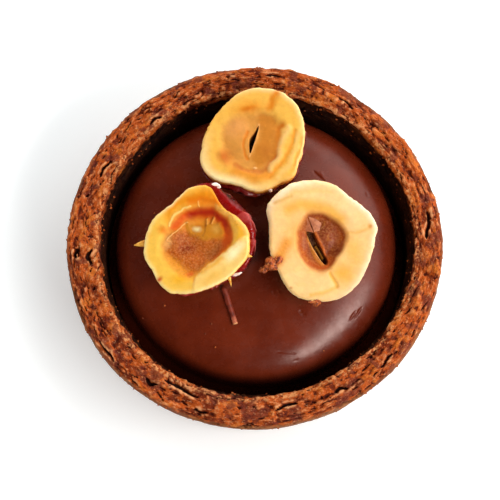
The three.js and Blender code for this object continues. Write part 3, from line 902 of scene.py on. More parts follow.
# The lobe that folded over.
LEFT_LOBE = [
    (-0.4, -6.9), (0.2, -5.0), (1.9, -3.3), (3.2, -2.4), (4.5, -1.6), (5.6, -0.6), (6.6, 0.2),
    (7.6, 0.8), (8.4, 0.2), (8.4, -1.2), (7.4, -3.0), (5.8, -4.8), (3.3, -6.5), (1.2, -7.6),
]
left.stroke([(0.0, -5.6), (1.6, -3.7), (3.0, -2.7), (4.3, -1.9), (5.4, -0.9)], 0.7, (238, 158, 40), 0.8)
left.field(LEFT_LOBE, 0.45, (254, 216, 146), 0.95, height=0.28)
# Painted highlight: a near-white band on the lobe.
left.dab((5.9, -1.5), (3.1, 1.3, 42), (255, 250, 228), height=0.08)
left.dab((2.6, -5.2), (3.2, 1.1, 32), (247, 192, 92), 0.7)
# Painted shade: an amber stripe along the lobe.
left.stroke([(1.0, -4.4), (2.8, -3.4), (4.0, -2.6)], 0.6, (243, 178, 62), 0.7)
left.rim(290, 60, 0.7, (255, 240, 196), 0.95)
left.dab((-5.3, -5.0), (0.8, 0.6, 30), (196, 70, 14), height=-0.08)
print("toasted nut, deepest, mm:", round(float(left.z.min()), 2))

# %% [markdown]
# ## The blanched nut
# The third half lost its skin before roasting. It is cream all over, even on its rounded side, and
# only the hollow in the middle browned. In the hollow lie two thin plates of seed skin, with sharp
# corners, over the gap between the seed leaves.

# %% Strokes of the blanched nut
MILK = (248, 204, 134)


def blanched_rim(degrees):
    """The side of this nut is rounded more widely at its upper left and along its right."""
    upper_left = np.exp(-((((degrees - 125 + 180) % 360) - 180) / 48.0) ** 2)
    right_side = np.exp(-((((degrees + 25 + 180) % 360) - 180) / 38.0) ** 2)
    return 0.4 + 0.8 * upper_left + 0.35 * right_side


right = Face(NUTS["nut_right"], MILK, blanched_rim, unsteady=0.5)
right.dab((3.6, 4.6), (4.9, 3.5, -35), (252, 216, 154), 0.95, height=0.08)
right.dab((-4.2, 0.6), (2.4, 4.0), (245, 188, 104), 0.85)
right.dab((-1.4, 6.6), (4.4, 1.7), (253, 214, 148), 0.8)
right.dab((4.6, -1.6), (2.0, 3.4, 12), (243, 188, 96), 0.9)
right.dab((3.0, -4.8), (2.7, 2.6, -20), (240, 176, 66), 0.9, height=-0.05)
right.rim(125, 55, 1.5, (255, 238, 204), 0.95)
right.rim(30, 70, 1.2, (255, 240, 204), 0.95)
right.rim(-40, 70, 1.3, (244, 212, 170), 0.95)
right.rim(250, 60, 0.8, (232, 192, 124), 0.85)
right.stroke([(-4.9, 4.3), (-3.5, 4.9), (-1.6, 4.8), (0.5, 4.4), (2.6, 3.0)], 1.7, (240, 180, 76), 0.9,
             height=-0.05)
# Painted shade: a slight shading line under the ridge.
right.stroke([(3.7, 1.0), (5.3, 1.1), (6.8, 1.7)], 0.4, (236, 184, 98), 0.6, height=-0.08)
right.dab((7.0, 2.0), (0.55, 0.5), (218, 150, 62), 0.95, height=-0.08)
right.stroke([(-7.0, 5.2), (-5.8, 5.7), (-4.7, 6.3)], 0.5, (222, 174, 92), 0.75, height=-0.1)
right.stroke([(-4.6, 6.5), (-2.0, 7.1), (1.0, 7.0)], 0.5, (243, 204, 126), 0.6, height=-0.04)

# The lobe low on the left, with a step to its right.
RIGHT_SHELF = [
    (-5.9, -5.2), (-3.4, -4.6), (-1.2, -4.8), (0.9, -4.8), (1.6, -5.8), (1.9, -6.6), (0.4, -7.5),
    (-1.4, -8.0), (-3.9, -7.8), (-5.2, -6.6),
]
right.field(RIGHT_SHELF, 0.6, (244, 208, 140), 0.9, height=0.14)
# Painted shade along the step and its crease.
right.stroke([(1.2, -4.9), (1.8, -5.9), (2.2, -6.8)], 0.5, (222, 160, 50), 0.85, height=-0.08)
right.stroke([(1.8, -6.9), (0.4, -7.6), (-1.6, -8.1)], 0.5, (234, 180, 78), 0.65, height=-0.08)
right.dab((-4.5, -7.1), (0.4, 0.3), (190, 120, 50), 0.8)
right.stroke([(-5.2, -0.6), (-5.9, -2.0), (-6.6, -3.4)], 1.5, (234, 152, 44), 0.9, grit=0.3)
right.dab((-6.4, -3.1), (1.3, 1.2), (196, 98, 26), 0.9, grit=0.7)

# The browned hollow.
RIGHT_HOLLOW = [
    (-2.2, 3.6), (-0.9, 3.8), (0.9, 3.3), (2.6, 2.1), (3.5, 0.8), (3.2, -0.5), (2.4, -1.9), (1.4, -3.4),
    (0.4, -4.4), (-1.3, -4.3), (-2.5, -3.1), (-3.4, -1.4), (-3.6, 0.7), (-3.0, 2.5),
]
right.field(RIGHT_HOLLOW, 2.6, (222, 140, 30), 0.95)
right.field(RIGHT_HOLLOW, 1.2, (170, 78, 12), 0.95, height=-0.55, grit=0.3)
right.dab((0.0, -0.2), (3.3, 4.1, -15, 0.5), (126, 50, 18), 0.95, height=-0.6, wet=0.5)
right.stroke([(-3.1, 0.8), (-3.0, -1.2), (-2.2, -3.0), (-0.9, -3.9), (0.5, -3.9), (1.4, -2.9)], 0.7,
             (184, 78, 8), 0.85, wet=0.3)
right.stroke([(-1.8, 3.3), (-0.6, 3.5), (1.0, 2.9), (2.3, 1.9), (3.1, 0.8)], 0.5, (138, 52, 6), 0.85,
             wet=0.3)
right.stroke([(3.1, 0.5), (2.8, -0.9), (2.0, -2.3), (1.2, -3.5)], 0.45, (150, 62, 10), 0.85, wet=0.4)
right.dab((0.2, 1.6), (2.6, 1.8, -20), (128, 58, 24), 0.7, grit=0.7)
right.dab((2.0, -1.4), (1.2, 1.5, 20), (120, 48, 22), 0.8, wet=0.6)
right.dab((-1.9, 1.9), (1.3, 1.3), (132, 60, 26), 0.7)
right.dab((1.2, 0.5), (1.7, 2.0, -20, 0.8), (156, 80, 50), 0.8, height=0.22, wet=0.9)
right.dab((1.0, 2.0), (1.2, 0.8, -30, 0.8), (148, 70, 34), 0.7, height=0.12, wet=0.6)
right.dab((-2.6, -0.4), (0.7, 1.9, 6, 0.8), (166, 88, 56), 0.8, height=0.14, wet=0.7)
right.stroke([(-2.0, 0.2), (-1.6, -1.0), (-0.9, -2.4), (0.0, -3.5)], 0.5, (204, 126, 40), 0.9, height=0.12,
             wet=0.4)
right.stroke([(-0.9, 1.0), (-0.1, -0.6), (0.5, -2.2)], 0.4, (206, 104, 34), 0.85, height=0.14, wet=0.6)
RIGHT_GAP = [
    (-2.2, 1.0), (-1.3, 1.0), (-0.9, 0.3), (-0.4, -0.7), (0.3, -2.0), (0.85, -3.1), (0.6, -3.6),
    (0.1, -3.2), (-0.7, -2.0), (-1.4, -0.9),
]
right.wx, right.wy = right.x, right.y
# The gap is painted dark brown, partly its browning and partly painted shade.
right.field(RIGHT_GAP, 0.2, (62, 24, 8), height=-1.3)
right.stroke([(-0.8, -1.0), (-0.3, -1.7), (0.2, -2.7)], 0.32, (176, 122, 36), 0.95, height=0.6, wet=0.6)
right.stroke([(-2.0, 0.5), (-1.3, -1.2), (-0.4, -2.6), (0.3, -3.5)], 0.14, (250, 180, 100), 0.95,
             height=0.08)
print("blanched nut, deepest, mm:", round(float(right.z.min()), 2))

# %% [markdown]
# ## Kernel flesh
# Roasted flesh is waxy: light goes a little way in, so the pale parts glow and thin edges look
# warm. Subsurface scattering does that, with a short reach because a kernel is small. Fine fibres
# and specks come from noise laid over the painted colour, and the wet places are glossier.

# %% Finish of the kernels
flesh = Finish("kernel_flesh", roughness=0.45, specular=0.14)
grit = flesh.layer("grit")
coat = flesh.shade(flesh.layer("paint", "Color"), flesh.range(flesh.noise(0.9, 4, 0.6), 0.3, 0.7), 0.96, 1.05)
coat = flesh.tint(coat, (236, 160, 50), flesh.noise(1.3, 3), 0.54, 0.72, 0.18)
speck = flesh.range(flesh.noise(0.28, 3, 0.6), 0.42, 0.62, 0.0, 0.45)
coat = flesh.over(coat, (232, 160, 96), flesh.times(speck, grit))
pock = flesh.range(flesh.noise(0.34, 3, 0.6), 0.50, 0.38, 0.0, 0.4)
coat = flesh.over(coat, (120, 34, 6), flesh.times(pock, grit))
flesh.colour(coat)
flesh.roughness(flesh.layer("wet"), 0.0, 1.0, 0.5, 0.24)
flesh.relief(flesh.noise(0.6, 4, 0.55), 0.06, 0.5)
flesh.sockets["Subsurface Weight"].default_value = 0.25
flesh.sockets["Subsurface Radius"].default_value = (1.0, 0.6, 0.25)
flesh.sockets["Subsurface Scale"].default_value = 0.6 * MM
print("nodes in the flesh:", len(flesh.nodes))

# %% [markdown]
# ## From strokes to a kernel
# A kernel is its painted face, then a rounded side that closes below. The outline is the packed
# solid's own, so the relief fades out before it gets there.

# %% Building the kernels


def body_rows(face):
    """The rounded side of a nut below its face: radius and depth for each row and column."""
    nut = face.nut
    turn = np.linspace(0, np.pi / 2, BODY_ROWS + 1)[1:-1, None]
    start = ROUNDING_SHARE * face.rounding[None, :]
    share = np.cos(turn) ** FULL_SIDE
    depth = start + (nut["thickness"] - start) * np.sin(turn) ** FULL_FOOT
    return share * face.edge[None, :], depth


def bulge_at(nut, depth):
    by_angle = smooth_ring([nut["bulge"].get(angle, 0.0) for angle in range(0, 360, 15)], NUT_COLUMNS)
    swell = np.sin(np.pi * clamp(depth / (nut["thickness"] * 0.9)) ** 0.6)  # fullest near the face
    return np.maximum(by_angle, 0)[None, :] * swell


# How far roasting took down each kernel's red, green and blue, over its whole face.
ROAST = {
    "nut_top": (0.80, 0.71, 0.56),
    "nut_left": (0.95, 0.89, 0.62),
    "nut_right": (0.90, 0.86, 0.84),
}
FACES = {"nut_top": top, "nut_left": left, "nut_right": right}
SLOTS = {"nut_top": "nut_toasted", "nut_left": "nut_toasted", "nut_right": "nut_blanched"}
SIDE_COLOURS = {"nut_top": (212, 132, 52), "nut_left": (212, 132, 52), "nut_right": (252, 222, 170)}
TOASTED_ROWS = 5  # rows at the edge of a face that take on the colour of its side


def build_kernel(node):
    face = FACES[node]
    radius, depth = body_rows(face)
    grit = face.grit * 0.16 * (cloud(face.spot, 0.32, 31) - 0.5)
    top_rows = np.stack([face.x, face.y, face.z * fade_to_rim(face) - face.drop + grit], axis=2)
    side = turned(radius, nut_angle, -depth)
    side = side * (1 + 0.012 * (cloud(side, 1.4, 33)[..., None] - 0.5))
    grid = np.vstack([top_rows, side])
    local = round_points(grid, (0, 0, face.z[0].mean()), (0, 0, -face.nut["thickness"]))
    side_colour = np.array(ink(*SIDE_COLOURS[node])[:3])
    colour = np.vstack([face.paint * ROAST[node], np.broadcast_to(side_colour, side.shape)])
    last = slice(len(face.x) - TOASTED_ROWS, len(face.x))
    colour[last] = mix(colour[last], colour[-1], np.linspace(0.15, 0.75, TOASTED_ROWS)[:, None, None])
    colour = round_points(colour, colour[0].mean(axis=0), colour[-1, 0])
    zeros = np.zeros(side.shape[:2])
    layers = {
        "grit": levelled_ends(np.vstack([face.grit, zeros])),
        "wet": levelled_ends(np.vstack([face.wet, zeros])),
    }
    points, faces = on_tart(face.nut, local), round_faces(*grid.shape[:2])
    piece = make_piece(f"{node}_kernel", points, faces, flesh.material, SLOTS[node], node, layers)
    paint = piece.data.color_attributes.new("paint", "FLOAT_COLOR", "POINT")
    paint.data.foreach_set("color", np.hstack([colour, np.ones((len(colour), 1))]).ravel())
    return piece


def fade_to_rim(face):
    """Relief fades out over the rounded rim, so that the outline stays that of the solid."""
    fade = np.ones(face.x.shape)
    fade[FACE_ROWS:] = np.linspace(1, 0.3, ROUNDING_ROWS)[:, None]
    return fade


def levelled_ends(grid):
    """A layer's values whose two ends are the averages of the rows next to them."""
    return with_ends(grid, grid[0].mean(), grid[-1].mean())


kernels = [build_kernel(node) for node in NUTS]

# %% [markdown]
# ## Red hazelnut skin
# A hazelnut keeps a papery, glossy red-brown skin on its round side. It dries onto the kernel in
# lengthwise wrinkles and, where the nut was cut, ends in a torn edge that stands a little proud.
# It could be a colour on the flesh, but then it would have no edge. So the skin is its own closed
# shell, a tenth of a millimetre outside the flesh, and its top is hidden inside the kernel.

# %% Finish of the skin
skin = Finish("hazelnut_skin", roughness=0.24, specular=0.28)
red = skin.tints(
    ink(88, 7, 7),
    ((34, 3, 4), skin.noise(1.4, 3), 0.44, 0.60, 1.0),
    # Painted highlight: pale pink streaks along the folds.
    ((206, 104, 96), skin.layer("fold_highlight"), 0.66, 1.0, 0.5),
)
red = skin.over(red, (176, 18, 10), skin.times(skin.layer("torn"), 0.6))
# Painted shade: the skin is darkened where the `low` layer is high.
skin.colour(skin.shade(red, skin.layer("low"), 1.0, 0.3))
skin.roughness(skin.noise(0.6, 2), 0.3, 0.7, 0.18, 0.4)
skin.relief(skin.noise(0.45, 4, 0.6, stretch=(1, 1, 0.4)), 0.06, 0.5)
skin.sockets["Coat Weight"].default_value = 0.15
skin.sockets["Coat Roughness"].default_value = 0.15
print("nodes in the skin:", len(skin.nodes))

# %% [markdown]
# ## Wrapping the nuts
# The skin follows the side of its nut a little further out, and swells where it lifted off. Only
# the back and the left nut have one.

# %% Wrapping a nut in skin
SKIN_ROWS = 64
SKIN_THICKNESS = 0.14


def wrap(node, torn_from, painted_shade=0.0):
    """The skin of one nut; `torn_from` gives how far below the face it starts, by angle."""
    face = FACES[node]
    nut = face.nut
    degrees = np.degrees(nut_angle)
    ragged = 0.5 * (ring_lumps(nut_turn, 26, 0.5, 51) - 0.5) + 0.3 * (ring_lumps(nut_turn, 90, 0.5, 52) - 0.5)
    start = ROUNDING_SHARE * face.rounding
    torn = np.maximum(torn_from(degrees) * (1 + 0.8 * ragged) + 0.15 * ragged, 0.06)[None, :]
    share = (np.linspace(0, 1, SKIN_ROWS) ** 1.3)[:, None]
    depth = mix(torn, nut["thickness"] - 0.02, share)
    sunk = clamp((depth - start) / (nut["thickness"] - start))
    turn = np.arcsin(sunk ** (1 / FULL_FOOT))
    rounding = np.sqrt(clamp(1 - (1 - clamp(depth / start)) ** 2))
    flesh_edge = face.edge[None, :] - face.rounding[None, :] * (1 - rounding)
    body = np.cos(turn) ** FULL_SIDE * flesh_edge
    slanted = nut_turn * 34 + 0.25 * depth + 1.2 * ring_lumps(nut_turn, 9, depth / 2.0, 55)
    folds = (1 - np.abs(2 * lumps(slanted % 34, depth / 3.2, 34, 53) - 1)) ** 3
    fine_folds = (1 - np.abs(2 * lumps((slanted * 2.5) % 85, depth / 1.6, 85, 54) - 1)) ** 3
    waning = np.sqrt(clamp(body / 4.0))
    radius = body + SKIN_THICKNESS + bulge_at(nut, depth) + waning * (0.26 * folds + 0.12 * fine_folds)
    # The first three rows turn in and close the skin inside the kernel, where it can't be seen.
    radius[0] = 0.55 * body[0]
    radius[1] = body[1] - 0.6
    radius[2] = body[2] - 0.04
    depth = depth + np.zeros_like(radius)
    depth[0] = 4.0
    depth[1] = depth[2] + 0.5
    grid = turned(radius, nut_angle, -depth)
    points = on_tart(nut, round_points(grid, (0, 0, -4.4), (0, 0, -nut["thickness"] - SKIN_THICKNESS)))
    near_tear = clamp(1 - (depth - torn) / 0.6)
    layers = {
        "fold_highlight": with_ends(0.8 * folds + 0.5 * fine_folds),
        "torn": with_ends(near_tear),
        # Painted shade: the skin is painted darker lower down the nut, and at least by `painted_shade` all
        # over.
        "low": with_ends(np.maximum(clamp((depth - 1.4) / 2.4), painted_shade), 1, 1),
    }
    faces = round_faces(*grid.shape[:2])
    return make_piece(f"{node}_skin", points, faces, skin.material, SLOTS[node], None, layers)


def left_tear(degrees):
    return 1.9 - 1.75 * np.maximum(near_angle(degrees, 40, 75), near_angle(degrees, -22, 50))


def top_tear(degrees):
    return 1.9 - 1.3 * near_angle(degrees, 250, 48)


# The top nut's skin gets painted shade all over.
skins = [wrap("nut_left", left_tear), wrap("nut_top", top_tear, painted_shade=0.75)]

# %% [markdown]
# ## Chocolate filling
# The filling was poured warm and set to a low dome with a satin skin. The nuts were pressed in
# before it set, so it fits under them closely and swells a little round their edges. Rays sent up
# from below find each nut's underside, and the surface is pushed down to just beneath it. A
# boolean cut would leave a sharp edge there, which soft chocolate doesn't have.

# %% Shape of the filling
FILLING_COLUMNS = 480
FILLING_TOP = SHELL_HEIGHT + 0.7
DOME_RADIUS = 20.9
GAP_FLOOR = SHELL_HEIGHT - 7.8
DOME_SHIFT = 0.5
DOME_FULLNESS = 2.8
CONTACT_GAP = 0.12
FILLING_FOOT = FLOOR_THICKNESS + 0.3


def dome_height(r):
    fall = clamp(r / DOME_RADIUS) ** DOME_FULLNESS
    return FILLING_EDGE + (FILLING_TOP - FILLING_EDGE) * np.sqrt(np.maximum(0, 1 - fall))


filling_angle = np.linspace(0, 2 * np.pi, FILLING_COLUMNS, endpoint=False)[None, :]
# Rows lie a little closer together towards the edge, where the dome falls away.
DOME_ROWS, CROWDING = 150, 0.93
quarter = np.pi / 2
dome_turn = np.linspace(0, quarter, DOME_ROWS)[1:, None] ** CROWDING / quarter ** (CROWDING - 1)
dome_r = DOME_RADIUS * np.sin(dome_turn)


def in_the_room(reach):
    """A radius of the filling, moved in with the room it lies in."""
    return reach - off_centre(filling_angle) * (reach / SLOPE_FOOT) ** 2


dome_x = in_the_room(dome_r) * np.cos(filling_angle)
dome_y = in_the_room(dome_r) * np.sin(filling_angle) + DOME_SHIFT
dome_z = dome_height(dome_r) + 0 * filling_angle
spots = np.stack([dome_x, dome_y, 0 * dome_x], axis=2)
dome_z = dome_z + 0.22 * (cloud(spots, 8.0, 61) - 0.5) + 0.05 * (cloud(spots, 2.4, 62) - 0.5)
print("rows of the dome:", len(dome_r), "top at, mm:", round(float(dome_z.max()), 2))

# %% [markdown]
# ## Dents under the nuts
# Chocolate that gives way under a nut has to go somewhere, so a low swell runs round each dent.

# %% Pressing in the nuts
NOTHING_ABOVE = 1000.0  # stands for a ray that met no nut
depsgraph = bpy.context.evaluated_depsgraph_get()
nut_trees = [BVHTree.FromObject(piece, depsgraph) for piece in kernels + skins]


def underside(x, y):
    """Height in millimetres of the lowest nut surface over a place, or a great height."""
    lowest = NOTHING_ABOVE
    for tree in nut_trees:
        hit = tree.ray_cast(Vector((x * MM, y * MM, 0)), Vector((0, 0, 1)))[0]
        if hit:
            lowest = min(lowest, hit.z / MM)
    return lowest


ceiling = np.array([[underside(x, y) for x, y in zip(*row)] for row in zip(dome_x, dome_y)])
sunk = np.maximum(0, dome_z - (ceiling - CONTACT_GAP))
covered = (sunk > 0).astype(float)
SWELL = 0.22
swell = SWELL * blur(blur(covered, 3), 2) * (1 - covered)
dome_z = np.minimum(dome_z + swell - np.maximum(sunk, 0.7 * blur(sunk, 1)), ceiling - CONTACT_GAP)
print("deepest dent under a nut, mm:", round(float(sunk.max()), 2))

# %% [markdown]
# ## Nicks and bubbles
# A few nicks of a knife tip, faint dents and burst bubbles break up the smooth dome.

# %% Marks on the filling
MARKS = [
    # path in mm, width, height: two nicks and the cut of a knife tip, then faint dents
    ([(14.0, -10.9), (14.4, -10.2), (14.8, -9.6)], 0.24, -0.12),
    ([(14.7, -10.5), (15.1, -9.8), (15.6, -9.1)], 0.26, -0.15),
    ([(14.4, -10.7), (14.9, -9.9)], 0.20, 0.07),
    ([(8.7, 11.4), (9.4, 10.6), (10.2, 9.9)], 0.24, -0.22),
    ([(9.6, 11.3), (10.3, 10.6)], 0.20, 0.08),
    ([(-6.5, -13.6), (-4.2, -14.6), (-1.0, -15.0)], 0.22, -0.05),
    ([(3.4, -15.8), (6.0, -16.0)], 0.18, -0.05),
    ([(16.4, 4.0), (17.3, 1.0)], 0.20, -0.05),
    ([(-16.6, 5.2), (-15.6, 8.0)], 0.22, -0.05),
]
for path, width, lift in MARKS:
    dome_z = dome_z + lift * stroke(dome_x, dome_y, path, width, taper=True)

BUBBLES, BUBBLES_WITHIN = 34, 20.0
bubbles = np.random.default_rng(5)
for _ in range(BUBBLES):
    angle, reach = bubbles.uniform(0, 2 * np.pi), BUBBLES_WITHIN * math.sqrt(bubbles.random())
    size = bubbles.uniform(0.16, 0.34)
    at = (reach * math.cos(angle), reach * math.sin(angle))
    dome_z = dome_z - 0.35 * size * dab(dome_x, dome_y, at, (size, size))

wall = [
    (DOME_RADIUS + 0.08, 9.6),
    (DOME_RADIUS + 0.2, GAP_FLOOR),
    (SLOPE_FOOT - 0.5, GAP_FLOOR - 0.4),
    (21.9, FILLING_FOOT + 1.1),
    (21.0, FILLING_FOOT),
]
wall_r, wall_z = (column[:, None] for column in np.array(wall).T)
wall_x = in_the_room(wall_r) * np.cos(filling_angle)
wall_y = in_the_room(wall_r) * np.sin(filling_angle) + np.where(wall_z > GAP_FLOOR - 0.1, DOME_SHIFT, 0)
under = np.stack([wall_x, wall_y, wall_z + 0 * filling_angle], axis=2)
filling_grid = np.vstack([np.stack([dome_x, dome_y, dome_z], axis=2), under])
print("marks:", len(MARKS), "bubbles:", BUBBLES)

# %% [markdown]
# ## Satin chocolate
# Set ganache is dark and nearly smooth. Most of what the eye reads as its colour is the soft sheen
# of its fat, so the base stays dark and the roughness does the work. A very low, wide bump breaks
# up the edge of the highlight, as the wrinkles of the skin do.

# %% Finish of the filling
ganache = Finish("satin_ganache", roughness=0.28, specular=0.5)
dark = ganache.tints(
    ink(106, 36, 15),
    ((94, 29, 10), ganache.noise(5, 3), 0.35, 0.65, 1.0),
    ((104, 44, 30), ganache.noise(0.9, 4), 0.56, 0.74, 0.35),
)
# Painted shade: the `deep` layer darkens the colour at the front foot of the dome.
ganache.colour(ganache.shade(dark, ganache.layer("deep"), 1.0, 0.2))
ganache.sockets["Specular Tint"].default_value = (1.0, 0.84, 0.78, 1)
ganache.roughness(ganache.noise(1.6, 4), 0.3, 0.7, 0.23, 0.31)
ganache.relief(ganache.noise(1.7, 3), 0.05, 0.35)
ganache.relief(ganache.noise(0.35, 4, 0.6), 0.02, 0.4)
filling_ends = [(0, 0, dome_z[0].mean()), (0, 0, FILLING_FOOT)]
# Painted shade: the foot of the dome at the front is painted darker, down to a fifth, where the rim shades
# it.
front = clamp(-np.sin(filling_angle[0])) ** 2
FRONT_SHADE_FROM, FRONT_SHADE_OVER = 18.4, 1.6  # how far out the foot of the front begins to darken, and over what width
from_middle = np.hypot(filling_grid[..., 0], filling_grid[..., 1])
deep = ease(clamp((from_middle - FRONT_SHADE_FROM) / FRONT_SHADE_OVER)) * front
make_piece(
    "ganache", round_points(filling_grid, *filling_ends), round_faces(*filling_grid.shape[:2]),
    ganache.material, "filling", "filling", {"deep": levelled_ends(deep)},
)

# %% [markdown]
# ## Loose and torn bits
# A finished tart always carries a few bits: a sliver of chocolate, a torn shred of kernel, crumbs
# of browned skin. White flecks stand in as painted highlights for glints on the torn ends of the
# skin. They are small, but the eye uses them to tell food from a model. Each bit is a rounded grid
# whose points are pushed about by the smooth random heights.

# %% Making bits


def pebble(at, size, turn, seed, roughness=0.35, rows=7, columns=12):
    """A lumpy oval: its points and faces, in millimetres."""
    tilt = np.linspace(0, np.pi, rows + 2)[1:-1, None]
    around = np.linspace(0, 2 * np.pi, columns, endpoint=False)[None, :]
    points = round_points(turned(np.sin(tilt), around, np.cos(tilt)), (0, 0, 1), (0, 0, -1))
    bumps = cloud(points + seed * 3.7, 0.9, 71) + 0.5 * cloud(points + seed * 1.9, 0.42, 72)
    points = points * (1 + roughness * (bumps[:, None] - 0.75)) * np.array(size) / 2
    c, s = math.cos(math.radians(turn)), math.sin(math.radians(turn))
    points = points @ np.array([[c, s, 0], [-s, c, 0], [0, 0, 1]])
    return points + np.array(at), round_faces(rows, columns)


def heap(parts):
    """Several closed shapes as one mesh."""
    points, faces, count = [], [], 0
    for shape_points, shape_faces in parts:
        points.append(shape_points)
        faces += [tuple(int(i) + count for i in face) for face in shape_faces]
        count += len(shape_points)
    return np.vstack(points), faces


def shard(start, end, width, thickness, seed, blunt=0.25, sides=14, steps=18):
    """A sliver that narrows to its end, lying between two points."""
    start, end = np.array(start, float), np.array(end, float)
    along = (end - start) / np.linalg.norm(end - start)
    side = np.cross((0, 0, 1), along)
    side = side / np.linalg.norm(side)
    up = np.cross(along, side)
    t = np.linspace(0, 1, steps)[:, None]
    girth = np.minimum(1, np.sqrt(clamp(t / 0.12 + 0.15))) * mix(1.0, blunt, t**1.6)
    around = np.linspace(0, 2 * np.pi, sides, endpoint=False)[None, :]
    wobble = 1 + 0.10 * (ring_lumps(around / (2 * np.pi), 6, t * 7, seed) - 0.5)
    across = girth * wobble * np.cos(around) * width / 2
    high = girth * wobble * np.sin(around) * thickness / 2
    spine = start + (end - start) * t
    grid = spine[:, None, :] + across[..., None] * side + high[..., None] * up
    points = round_points(grid, start - 0.05 * along, end + 0.05 * along)
    return points, turned_over(round_faces(steps, sides))


def add_bits(name, node, parts, finish):
    """Bits that lie on one nut, measured from the middle of its face."""
    points, faces = heap(parts)
    return make_piece(name, on_tart(NUTS[node], points), faces, finish.material, SLOTS[node], node)


def on_dome(place, above):
    """A place on the filling's dome, `above` millimetres higher."""
    return (*place, float(dome_height(np.hypot(place[0], place[1] - DOME_SHIFT))) + above)


print("a pebble has", len(pebble((0, 0, 0), (1, 1, 1), 0, 1)[0]), "points")

# %% [markdown]
# ## The sliver
# It lies on the dome, so both its ends take their height from there. Its far end is broken off and
# shows the paler inside.

# %% Sliver of chocolate
SLIVER_FROM = (-4.6, -6.3)
SLIVER_TO = (-2.75, -12.0)
sliver_choc = Finish("sliver_chocolate", roughness=0.45, specular=0.4)
broken = sliver_choc.layer("broken")
sliver_choc.colour(sliver_choc.tints(
    ink(134, 48, 26),
    ((98, 32, 16), sliver_choc.noise(0.8, 3), 0.4, 0.65, 1.0),
    ((190, 100, 68), broken, 0.2, 0.8, 1.0),
    ((214, 150, 96), broken, 0.88, 1.0, 1.0),
))
sliver_choc.relief(sliver_choc.noise(0.3, 3), 0.05, 0.6)


sliver_ends = on_dome(SLIVER_FROM, 0.22), on_dome(SLIVER_TO, 0.26)
sliver_points, sliver_faces = shard(*sliver_ends, 0.95, 0.85, 81, blunt=0.75, sides=20, steps=40)
sliver_run = np.array(SLIVER_TO) - np.array(SLIVER_FROM)
sliver_share = (sliver_points[:, :2] - SLIVER_FROM) @ sliver_run / (sliver_run @ sliver_run)
make_piece("chocolate_sliver", sliver_points, sliver_faces, sliver_choc.material, "filling", "filling",
           {"broken": clamp((sliver_share - 0.72) / 0.28)})

# %% [markdown]
# ## Shreds and glint flecks
# They are placed on the face of their nut, in its own plane, and lean with it. The white flecks are
# painted highlights for glints at the skin's torn ends.

# %% Shreds and glint flecks of the nuts
shred = Finish("kernel_shred", roughness=0.5, specular=0.35)
shred.colour(shred.tint(ink(240, 182, 76), (214, 136, 34), shred.noise(0.6, 3), 0.4, 0.65))
shred.relief(shred.noise(0.25, 3), 0.04, 0.5)
add_bits("nut_left_shreds", "nut_left", [
    shard((-7.3, 0.25, -0.7), (-9.25, 0.0, -0.9), 1.05, 0.5, 82, blunt=0.12),
    shard((5.0, -5.1, -0.15), (5.2, -6.5, -0.6), 0.5, 0.35, 83, blunt=0.1),
    shard((7.7, -2.1, -0.1), (8.5, -2.3, -0.3), 0.6, 0.35, 84, blunt=0.1),
], shred)

# Painted highlight: near-white flecks where the torn skin catches the light.
glint_fleck = Finish("white_glint_fleck", roughness=0.35, specular=0.5)
glint_fleck.colour(glint_fleck.tint(ink(255, 238, 226), (240, 198, 176), glint_fleck.noise(0.5, 2), 0.45, 0.7))
glint_fleck.relief(glint_fleck.noise(0.2, 2), 0.04, 0.4)
add_bits("nut_left_glint_flecks", "nut_left", [
    pebble((3.2, 8.4, -0.35), (0.85, 0.5, 0.4), -10, 3, 0.9, rows=10, columns=16),
    pebble((3.7, 8.1, -0.4), (0.6, 0.6, 0.4), -62, 5, 0.9, rows=10, columns=16),
    pebble((6.2, -4.75, -0.55), (1.5, 0.42, 0.4), 14, 4, 0.9, rows=10, columns=16),
], glint_fleck)
add_bits("nut_top_glint_flecks", "nut_top", [pebble((2.35, -7.75, -0.5), (0.6, 0.5, 0.5), 10, 6)], glint_fleck)

# %% [markdown]
# ## Seed skin
# Two brittle plates, flat and with sharp corners, so they are the only pieces shaded flat.

# %% Plates of seed skin in the blanched nut


def plate(corners, thickness):
    """A thin flat plate with sharp corners, its rim given as points in order."""
    rim = np.array(corners, float)
    middle = rim.mean(axis=0)
    lift = np.array([0, 0, thickness])
    points = np.vstack([rim, rim - lift, [middle + 0.4 * lift], [middle - lift]])
    n = len(rim)
    faces = []
    for a in range(n):
        b = (a + 1) % n
        faces += [(2 * n, a, b), (2 * n + 1, n + b, n + a), (a, n + a, n + b, b)]
    return points, faces


film = Finish("seed_film", roughness=0.42, specular=0.35)
film.colour(film.tint(ink(188, 112, 66), (158, 84, 48), film.noise(0.7, 3), 0.4, 0.62))
film.relief(film.noise(0.3, 3), 0.03, 0.4)
film_piece = add_bits("nut_right_seed_film", "nut_right", [
    plate([(-2.3, 3.3, -0.5), (-2.8, 1.3, -0.72), (-1.25, 1.05, -0.55)], 0.12),
    plate([(-2.05, 3.35, -0.42), (-1.15, 1.1, -0.6), (-0.4, 1.3, -0.62), (-0.1, 2.4, -0.66),
           (-0.9, 3.0, -0.52)], 0.12),
], film)
film_piece.data.polygons.foreach_set("use_smooth", [False] * len(film_piece.data.polygons))

# %% [markdown]
# ## Browned crumbs
# A crumb is one lumpy core with many small grains set into it.

# %% Crumbs of browned skin
browned = Finish("browned_crumb", roughness=0.5, specular=0.45)
browned.colour(browned.tints(
    ink(186, 88, 26),
    ((112, 42, 14), browned.noise(0.5, 3), 0.42, 0.6, 1.0),
    ((222, 140, 76), browned.noise(0.3, 3), 0.56, 0.7, 1.0),
))
browned.relief(browned.noise(0.2, 4, 0.7), 0.08, 0.8)


